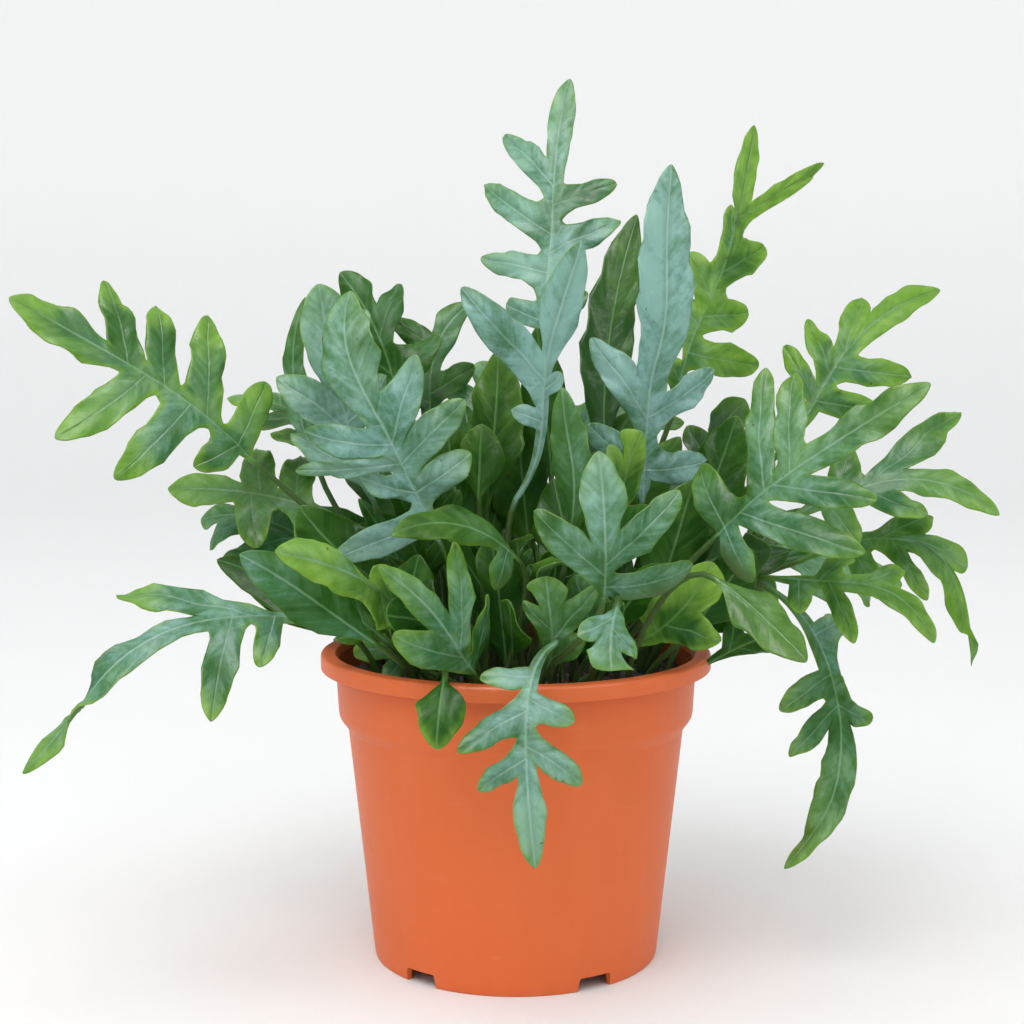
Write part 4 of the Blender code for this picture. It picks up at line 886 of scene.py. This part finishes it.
def leaf_finish(name, shine, through, under):
    """Leathery blade: blue-green bloom over green, yellower at margins and tips, with pale veins; painted shade
    beside the veins and on shaded leaves, and painted sheen in the palest bloom.

    s and r are along and across the nearest vein, u and v along and across the midrib, and margin is the way
    to the edge, all in millimetres. tone is the lobe's own random number, and end the share of the way to the
    nearer tip. A bloom below 0 is painted shade: it darkens leaves that lie in the plant's own shade, deep
    inside it or under the fronds, to a deeper green.
    """
    f = Finish(name)
    s, r, tone = f.parts("vein")
    u, v, margin = f.parts("blade")
    bloom, gold, end = f.parts("look")
    here = f.place()
    broad, patch, blotch, fleck, grain = (f.noise(here, scale, detail) - 0.5 for scale, detail in (
        (17.0, 1.0), (46.0, 2.0), (125.0, 3.0), (380.0, 3.0), (1500.0, 2.0)))
    away = abs(r)
    slant = s - away * 1.25
    beside_vein = f.node("ShaderNodeCombineXYZ", {}, {0: slant, 1: away * 0.3, 2: tone * 90.0})[0]
    streak = f.noise(beside_vein, 0.22, 3.0) - 0.5
    side_vein = (slant / 6.2 + blotch * 0.9).wave()
    branch = (1 - side_vein.step(0.0, 0.20)) * away.step(0.8, 2.5) * margin.step(0.6, 4.0) * u.step(0.0, 6.0)
    main_vein = away.step(0.70, 0.25) * u.step(-4.0, 2.0)
    midrib = abs(v).step(0.90, 0.40) * u.step(-4.0, 2.0) * end.step(1.0, 0.85)
    # beside is painted shade: a darker band along each side of a lobe's vein, where its groove would lie in
    # shadow.
    beside = away.step(3.2, 0.9) * (1 - main_vein)
    ageing = margin.step(4.0, 0.3) * 0.45 + end ** 3 * 1.2 + broad * 2.0 + patch * 2.2 + streak * 0.5 + 0.15
    ageing = (ageing * gold).clamp()
    worn = bloom + broad * 1.6 + patch * 1.1 + blotch * 0.6 + streak * 0.8 + tone * 0.5
    worn = (worn - margin.step(2.5, 0.0) * 0.25 - ageing * 0.6 - 0.20).clamp()
    # light and blue set broad pale patches and the bloom's palest blue: partly the bloom's own unevenness and
    # partly painted sheen, where a satin blade would catch the light.
    light = broad * 1.7 + patch * 0.9 + blotch * 0.7 + fleck * 0.4 + streak * 1.1
    green = (light + tone * 0.3 + bloom * 0.6 + gold * 0.3 + 0.08).clamp()
    blue = (light + patch * 0.6 + fleck * 0.7 + grain * 0.5 + bloom * 1.2 - 0.38).clamp()
    half = (blotch * 1.5 + streak + 0.5).clamp()
    # shade is painted shade: a bloom below 0 darkens a leaf that lies in the plant's own shade to a deeper
    # green.
    shade = (bloom * -1.0).clamp()
    speck = f.noise(here, 330.0, 1.0).step(0.755, 0.80)
    colour = f.coats(
        f.mix(green, (0.014, 0.082, 0.004), (0.104, 0.270, 0.038)),
        # the bloom, whose palest blue is partly painted sheen
        (worn, f.mix(blue, (0.056, 0.215, 0.120), (0.320, 0.570, 0.560))),
        # painted shade: the deep green laid over leaves with a bloom below 0
        (shade, f.mix(half, (0.004, 0.040, 0.001), (0.026, 0.130, 0.004))),
        (ageing * 0.85, f.mix(half, (0.180, 0.415, 0.030), (0.410, 0.670, 0.110))),
        (branch * 0.18, f.mix(worn, (0.130, 0.290, 0.080), (0.420, 0.640, 0.560))),
        # painted shade along both sides of the veins
        (beside * 0.20, (0.025, 0.110, 0.055)),
        (main_vein * 0.45, f.mix(worn, (0.150, 0.340, 0.090), (0.420, 0.650, 0.560))),
        (midrib * 0.50, f.mix(worn, (0.170, 0.350, 0.090), (0.430, 0.650, 0.540))),
        (margin.step(0.5, 0.1) * 0.22 * u.step(0.0, 5.0), (0.330, 0.500, 0.110)),
        (speck * 0.8, (0.110, 0.060, 0.020)),
        (u.step(3.0, -7.0), f.mix((u / -120.0 + patch * 0.8).clamp(), (0.080, 0.140, 0.036),
                                  (0.040, 0.028, 0.014))),
        *[(0.5, (0.150, 0.280, 0.130))] * under,
    )
    height = patch * 1.3 + blotch * 0.5 + streak * 0.12 + fleck * 0.10 + grain * 0.02
    height = height + main_vein * (0.35 if under else -0.12) - branch * 0.03
    roughness = worn * 0.08 + fleck * 0.20 + (0.50 if under else 0.40)
    sheer = 0.28 - shade * 0.20 + ageing * 0.10
    return f.surface(colour, roughness, height, 0.0012, sheer, through, Specular_IOR_Level=shine)


def pot_finish():
    """Moulded plastic: even orange with faint flow lines, a fine satin grain and a few dull scuffs."""
    f = Finish("orange pot plastic")
    here = f.place()
    cloud = f.noise(here, 14.0)
    flow = f.noise(f.place((1, 1, 0.12)), 90.0, 3.0)
    grain = f.noise(here, 2600.0)
    scuff = f.noise(f.place((1, 1, 3.5)), 55.0, 5.0).step(0.62, 0.74)
    colour = f.mix(cloud * 0.8 + (flow - 0.5) * 0.5, (0.675, 0.132, 0.032), (0.765, 0.163, 0.047))
    colour = f.mix(scuff * 0.14, colour, (0.720, 0.240, 0.120))
    roughness = 0.44 + (flow - 0.5) * 0.10 + scuff * 0.14 + (grain - 0.5) * 0.08
    return f.surface(colour, roughness, grain * 0.35 + flow * 0.8, 0.00012, Specular_IOR_Level=0.22)


def peat_finish(name, dry):
    """Damp, fibrous peat: nearly black, with brown and straw-coloured threads."""
    f = Finish(name)
    clod = f.noise(f.place(), 130.0, 4.0)
    thread = f.noise(f.place((1, 0.22, 1)), 900.0, 4.0)
    straw = f.noise(f.place((0.2, 1, 1)), 1100.0, 3.0).step(0.66, 0.74)
    brown = (0.050 + dry, 0.030 + dry / 2, 0.016)
    colour = f.mix(clod * 0.7 + thread * 0.5 - 0.2, (0.008, 0.006, 0.004), brown)
    colour = f.mix(straw * (0.35 + dry), colour, (0.190, 0.115, 0.055))
    return f.surface(colour, 0.80 + (clod - 0.5) * 0.3, clod * 1.0 + thread * 0.7, 0.0012)


def floor_finish():
    """Matte pale paper sweep, with the faintest unevenness."""
    f = Finish("pale sweep")
    here = f.place()
    tint = f.noise(here, 2.2)
    tooth = f.noise(here, 700.0)
    height = f.node("ShaderNodeSeparateXYZ", {}, {0: here})[2]
    low = f.mix(tint, (0.802, 0.807, 0.809), (0.822, 0.827, 0.830))
    colour = f.mix(height.step(0.0, 0.8), low, (0.925, 0.925, 0.922))
    return f.surface(colour, 0.86 + (tooth - 0.5) * 0.1, tooth, 0.0001)


def add_mesh(name, points, faces, finishes, smooth_angle=None):
    """An object at the origin, with its place in its mesh, from points in millimetres and their faces."""
    mesh = bpy.data.meshes.new(name)
    mesh.from_pydata(points * MM, [], faces)
    for finish in finishes:
        mesh.materials.append(finish)
    mesh.shade_smooth()
    if smooth_angle is not None:
        mesh.set_sharp_from_angle(angle=radians(smooth_angle))
    piece = bpy.data.objects.new(name, mesh)
    bpy.context.scene.collection.objects.link(piece)
    return piece


def dress(piece, node=None):
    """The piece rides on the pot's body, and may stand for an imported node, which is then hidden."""
    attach(piece, "root")
    if node:
        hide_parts(node)


def add_leaves(name, leaves, looks, skins):
    """A piece of one or more finished leaves: their shells, and the bloom and gold of each.

    What a skin needs is kept at the corners of the triangles: three attributes of three numbers.
    """
    firsts = np.cumsum([0] + [len(leaf[0]) for leaf in leaves])
    points, triangles, corners, under = zip(*leaves)
    triangles = [faces + first for faces, first in zip(triangles, firsts)]
    worn = np.concatenate([np.tile(look, (len(faces) * 3, 1)) for look, faces in zip(looks, triangles)])
    corners = np.concatenate(corners).reshape(-1, 7)
    piece = add_mesh(name, np.concatenate(points), np.concatenate(triangles), skins)
    piece.data.polygons.foreach_set("material_index", np.concatenate(under).astype(np.int32))
    sets = {"vein": corners[:, :3], "blade": corners[:, 3:6], "look": np.column_stack([worn, corners[:, 6]])}
    for title, values in sets.items():
        made = piece.data.attributes.new(title, "FLOAT_VECTOR", "CORNER")
        made.data.foreach_set("vector", np.ascontiguousarray(values, np.float32).ravel())
    return piece


def young_leaf(number):
    """A small leaf by rule: a plain blade on a short stipe, steeper near the pot's middle.

    The blade starts 10 mm or more above the peat, highest near the middle, and leaves outwards. It is 48 to
    90 mm long, and up to a third less at the front, where the large fronds hang over it. It rises at 78
    degrees at the middle and at 33 at the reach, with a spread of 10, and then sags by a square law. Nearly
    half of the leaves have a small lobe on each side.
    """
    draw = np.random.default_rng(number + YOUNG_SEED)
    turn = GOLDEN_ANGLE * number + 0.5 * draw.normal()
    out = np.array([cos(turn), sin(turn)])
    root = out * (YOUNG_INNER + (YOUNG_REACH - YOUNG_INNER) * draw.random() ** 0.75)
    front = max(0.0, -out[1])
    way = out + 0.5 * draw.normal(size=2)
    radius = np.linalg.norm(root)
    start = np.array([*(root * 1.1 + way * 8), 146 + 74 * draw.random() * (1.35 - radius / 80)])
    length = (48 + 42 * draw.random()) * (1 - 0.35 * front)
    rise = radians(78 - 45 * radius / YOUNG_REACH + 10 * draw.normal())
    step = length / 3 * np.array([*(unit(way) * cos(rise)), sin(rise)])
    sag = np.array([0, 0, -0.05 * length])
    midrib = [start + step * k + sag * k * k / 3 for k in range(4)]
    face = (0.7 * draw.normal() - 0.2 * out[0], -0.9, 0.5)
    plan = [root, face, 8 + 6 * draw.random(), 5, midrib]
    if draw.random() < 0.45:
        plan += [[(0.3, 0.42 * length, 48, 6.5)], [(0.42, 0.4 * length, 46, 6.5)]]
    return Blade(number + YOUNG_FIRST_NUMBER, *plan)


def add_young_leaves(skins, fronds):
    """Small leaves between the stipes. One is kept where it crosses no frond and no leaf kept before."""
    trees = [BVHTree.FromPolygons(points.tolist(), triangles.tolist()) for points, triangles, *_ in fronds]
    draw = np.random.default_rng(YOUNG_LOOK_SEED)
    leaves, looks = [], []
    for number in range(YOUNG_TRIED):
        leaf = shell(*frond_sheet(young_leaf(number), PLAIN_STEPS))
        # Most young leaves get a bloom below 0: painted shade for leaves that stand under the fronds.
        look = 0.5 * draw.random() - 0.45, 0.2 * draw.random() ** 2
        tree = BVHTree.FromPolygons(leaf[0].tolist(), leaf[1].tolist())
        if not any(tree.overlap(other) for other in trees):
            trees.append(tree)
            leaves.append(leaf)
            looks.append(look)
    return add_leaves("young_leaves", leaves, looks, skins)


def rounded(outline, steps=5):
    """An outline of (r, z, rounding) points, with each corner p turned into a (1-k)^2 + 2 p k (1-k) + b k^2.

    a and b lie on the two straights, the rounding away from the corner, and k goes from 0 to 1.
    """
    p = np.array(outline, float)[:, :2]
    k = np.linspace(0, 1, steps)[:, None]
    made = []
    for i, (*_, radius) in enumerate(outline):
        if radius == 0:
            made.append(p[i])
            continue
        a = p[i] + unit(p[i - 1] - p[i]) * radius
        b = p[i] + unit(p[i + 1] - p[i]) * radius
        made.extend(a * (1 - k) ** 2 + 2 * p[i] * k * (1 - k) + b * k ** 2)
    return np.array(made)


def lathe(outline, turns, lift_point=None):
    """Points and faces of an outline of (r, z) turned about the axis at the given turns in degrees.

    lift_point(r, z, turn) may move points: it gives new r and z. Faces look to the right of the outline's
    way, so one that runs from the axis out under the piece and back to the axis over it faces out.
    """
    r, z = (np.repeat(outline[:, [k]], len(turns), axis=1) for k in (0, 1))
    a = np.repeat(np.radians(turns)[None], len(outline), axis=0)
    if lift_point:
        r, z = lift_point(r, z, a)
    points = np.stack([r * np.cos(a), r * np.sin(a), z], -1).reshape(-1, 3)
    cell = np.arange(r.size).reshape(r.shape)
    side = np.roll(cell, -1, axis=1)
    quads = np.stack([cell[:-1], side[:-1], side[1:], cell[1:]], -1).reshape(-1, 4)
    keep, quads = welded(points, quads, 4)
    faces = [tuple(dict.fromkeys(quad)) for quad in quads.tolist()]
    return points[keep], [face for face in faces if len(face) > 2]


def body_radius(z):
    """Outer radius of the pot's tapered body at a height."""
    return FOOT_RADIUS + (STEP_RADIUS - FOOT_RADIUS) * z / STEP_FOOT


def notch_lift(r, z, turn):
    """Lift the foot's lower edge to NOTCH_HEIGHT inside each notch, with steep sides and round corners."""
    pitch = 2 * pi / NOTCHES
    off = np.abs((turn - radians(NOTCH_TURN) + pitch / 2) % pitch - pitch / 2) * FOOT_RADIUS
    open_part = np.clip((NOTCH_WIDTH / 2 - off) / 1.2, 0, 1)
    foot = (z < NOTCH_HEIGHT) & (r > FOOT_RADIUS - FOOT_WIDTH - 1)
    raised = np.where(foot, np.maximum(z, NOTCH_HEIGHT * np.sqrt(1 - (1 - open_part) ** 2)), z)
    outer = foot & (r > FOOT_RADIUS - 1.6)
    return np.where(outer, r + body_radius(raised) - body_radius(z), r), raised


def add_pot(finish):
    """The pot, turned from one outline, with drain holes cut through its floor."""
    lip_foot = POT_HEIGHT - LIP_HEIGHT
    inner_top = COLLAR_TOP_RADIUS - WALL
    foot_inner = FOOT_RADIUS - FOOT_WIDTH
    outline = [
        (0, FLOOR, 0), (foot_inner, FLOOR, 0.5), (foot_inner, 0, 0.4), (body_radius(0) - 0.2, 0, 0.7),
        (body_radius(3), 3, 0.3), (STEP_RADIUS, STEP_FOOT, 0.9),
        (COLLAR_FOOT_RADIUS - 0.5, COLLAR_FOOT - 1.2, 1.2), (COLLAR_FOOT_RADIUS, COLLAR_FOOT + 1.0, 0.9),
        (COLLAR_TOP_RADIUS, lip_foot + 1, 0.3), (COLLAR_TOP_RADIUS + 1.0, POT_HEIGHT - 2.2, 0.6),
        (RIM_RADIUS - WALL, POT_HEIGHT - 2.2, 0.8), (RIM_RADIUS - WALL, lip_foot, 0.5),
        (RIM_RADIUS - 0.1, lip_foot, 0.6), (RIM_RADIUS, POT_HEIGHT, 1.9), (inner_top + 1.4, POT_HEIGHT, 1.0),
        (inner_top - 0.2, POT_HEIGHT - 3.5, 0.6), (COLLAR_FOOT_RADIUS - WALL, COLLAR_FOOT, 0.8),
        (STEP_RADIUS - WALL, STEP_FOOT, 0.8), (body_radius(FLOOR) - WALL, FLOOR + WALL, 1.5),
        (0, FLOOR + WALL, 0),
    ]
    notch_edges = np.degrees((NOTCH_WIDTH / 2 + np.array([0.0, -0.12, -0.4, -0.8, -1.25])) / FOOT_RADIUS)
    notches = NOTCH_TURN + 360 / NOTCHES * np.arange(NOTCHES)
    marks = np.add.outer(notches, [*notch_edges, *-notch_edges]).ravel() % 360
    even = 360 / POT_TURNS * np.arange(POT_TURNS)
    turns = np.unique(np.round([*even, *marks], 3))
    pot = add_mesh("orange_nursery_pot", *lathe(rounded(outline), turns, notch_lift), [finish], 35)
    holes = [(DRAIN_HOLE_RING * cos(a), DRAIN_HOLE_RING * sin(a)) for a in np.radians(notches)]
    for x, y in [*holes, (0, 0)]:
        bpy.ops.mesh.primitive_cylinder_add(vertices=32, radius=DRAIN_HOLE * MM, depth=0.01,
                                            location=(x * MM, y * MM, (FLOOR + WALL / 2) * MM))
        drill = bpy.context.object
        boolean = pot.modifiers.new("drain hole", "BOOLEAN")
        boolean.operation = "DIFFERENCE"
        boolean.object = drill
        bpy.context.view_layer.update()
        cut = bpy.data.meshes.new_from_object(pot.evaluated_get(bpy.context.evaluated_depsgraph_get()))
        pot.modifiers.clear()
        pot.data = cut
        bpy.data.objects.remove(drill)
    return pot


def heave(x, y):
    """How far the peat's top lies off SOIL_TOP: a sum of sine waves, and a small fall towards the wall.

    The waves have random directions and phases and are 4 to 40 mm long, the short ones low.
    """
    draw = np.random.default_rng(LUMP_SEED)
    length = 4 * 10 ** draw.random(LUMP_WAVES)
    way, phase = draw.random((2, LUMP_WAVES)) * 2 * pi
    run = x[..., None] * np.cos(way) + y[..., None] * np.sin(way)
    rough = (length ** 0.7 / 20 * np.sin(run * 2 * pi / length + phase)).sum(-1)
    return np.clip(LUMP * rough - 1.6 * smooth((np.hypot(x, y) - 60) / 24), -4, 4)


def add_peat(finish):
    """The peat: flat below, with the pot's inner shape outside and rough ground on top."""
    inside = WALL + GAP
    floor = FLOOR + WALL + GAP
    edge = COLLAR_FOOT_RADIUS + 0.4 - inside
    outline = [
        (0, floor), (body_radius(floor) - inside - 3.4, floor),
        (body_radius(floor) - inside - 1.8, floor + 1.5), (STEP_RADIUS - 0.1 - inside, STEP_FOOT - 0.4),
        (COLLAR_FOOT_RADIUS - 0.1 - inside, COLLAR_FOOT), (edge, SOIL_TOP - 2.5),
        *[(r, SOIL_TOP) for r in np.linspace(edge, 0, 70)],
    ]

    def lumps(r, z, turn):
        """Heave the top."""
        return r, np.where(z > SOIL_TOP - 1, z + heave(r * np.cos(turn), r * np.sin(turn)), z)

    return add_mesh("peat", *lathe(np.array(outline), np.arange(0, 360, 1.6), lumps), [finish])


def add_crumbs(finish):
    """Loose crumbs and bark bits on the peat: stretched, dented eight-sided stones, half sunk in it."""
    draw = np.random.default_rng(CRUMB_SEED)
    radius = CRUMB_REACH * np.sqrt(draw.random(CRUMBS))
    turn = draw.random(CRUMBS) * 2 * pi
    x, y = radius * np.cos(turn), radius * np.sin(turn)
    corner = np.array([(1, 0, 0), (0, 1, 0), (-1, 0, 0), (0, -1, 0), (0, 0, 1), (0, 0, -1)], float)
    face = np.array([(0, 1, 4), (1, 2, 4), (2, 3, 4), (3, 0, 4), (1, 0, 5), (2, 1, 5), (3, 2, 5), (0, 3, 5)])
    size = (0.7 + 1.7 * draw.random((CRUMBS, 1, 1)) ** 2) * (0.5 + draw.random((CRUMBS, 1, 3)))
    spin = draw.random(CRUMBS)[:, None] * 2 * pi
    bit = corner * size * (0.75 + 0.5 * draw.random((CRUMBS, 6, 1)))
    px = bit[..., 0] * np.cos(spin) - bit[..., 1] * np.sin(spin) + x[:, None]
    py = bit[..., 0] * np.sin(spin) + bit[..., 1] * np.cos(spin) + y[:, None]
    pz = bit[..., 2] + (SOIL_TOP + heave(x, y))[:, None] + 0.3
    faces = (face[None] + 6 * np.arange(CRUMBS)[:, None, None]).reshape(-1, 3)
    return add_mesh("peat_crumbs", np.stack([px, py, pz], -1).reshape(-1, 3), faces, [finish], 50)


def add_sweep(finish):
    """The floor: a wide flat disc whose far edge curves up all round, out of the way of every view."""
    outline = [(0, 0, 0), (SWEEP_REACH, 0, SWEEP_BEND), (SWEEP_REACH, SWEEP_HEIGHT, 0)]
    sweep = add_mesh("floor", *lathe(rounded(outline, steps=14)[::-1], np.arange(0, 360, 4)), [finish])


def add_light(name, place, aim, size, power, colour=(1, 1, 1), gloss_only=True):
    """A square soft light at a place, turned to a point, in millimetres and watts."""
    lamp = bpy.data.lights.new(name, "AREA")
    lamp.size = size * MM
    lamp.energy = power
    lamp.color = colour
    held = bpy.data.objects.new(name, lamp)
    bpy.context.scene.collection.objects.link(held)
    held.location = np.array(place) * MM
    held.rotation_euler = Vector(np.subtract(aim, place) * MM).to_track_quat("-Z", "Y").to_euler()
    held.visible_diffuse = held.visible_transmission = not gloss_only


def light_studio():
    """Even pale surroundings, a broad soft key from above the viewer's left, and sheen on what is glossy."""
    world = bpy.data.worlds.new("pale room")
    world.use_nodes = True
    background = world.node_tree.nodes["Background"].inputs
    background["Color"].default_value = (0.985, 0.993, 1.0, 1)
    background["Strength"].default_value = 1.07
    bpy.context.scene.world = world
    bpy.context.scene.view_settings.view_transform = "Standard"
    add_light("key", (-350, -850, 1650), (0, 0, 200), 1200, 12.5, (1.0, 0.985, 0.96), gloss_only=False)
    add_light("sheen above", (-150, -450, 1250), (0, 0, 250), 300, 17.0)
    add_light("sheen in front", (-300, -950, 850), (0, 0, 250), 300, 17.0)
    add_light("sheen at the right", (850, -750, 900), (0, 0, 250), 300, 10.0)


def add_camera():
    """The camera in front of the pot, level from side to side."""
    lens = bpy.data.cameras.new("camera")
    lens.sensor_width = SENSOR
    lens.lens = LENS
    lens.clip_start = 0.05
    camera = bpy.data.objects.new("camera", lens)
    bpy.context.scene.collection.objects.link(camera)
    camera.location = np.array(CAMERA_PLACE) * MM
    camera.rotation_euler = (pi / 2 - CAMERA_DOWN, 0, 0)
    bpy.context.scene.camera = camera


def main():
    """Every piece in turn, then the floor, the lights and the camera."""
    dress(add_pot(pot_finish()), "pot")
    dress(add_peat(peat_finish("damp peat", 0.0)), "soil")
    dress(add_crumbs(peat_finish("peat crumbs", 0.03)))
    skins = {slot: [leaf_finish(slot + " upper side", *skin, under=False),
                    leaf_finish(slot + " underside", *skin, under=True)] for slot, skin in SKINS.items()}
    slots = {part["node"]: part["material_slot"] for part in frame["record"]["subparts"]}
    fronds = []
    for number, (name, (look, *plan)) in enumerate(FRONDS.items()):
        slot = slots["frond_" + name]
        frond = shell(*frond_sheet(Blade(number, *plan, **SPECIAL.get(name, {})), FINE_STEPS))
        dress(add_leaves("leaf_" + name, [frond], [look], skins[slot]), "frond_" + name)
        fronds.append(frond)
    dress(add_young_leaves(skins["leaf_green"], fronds))
    add_sweep(floor_finish())
    light_studio()
    add_camera()


main()
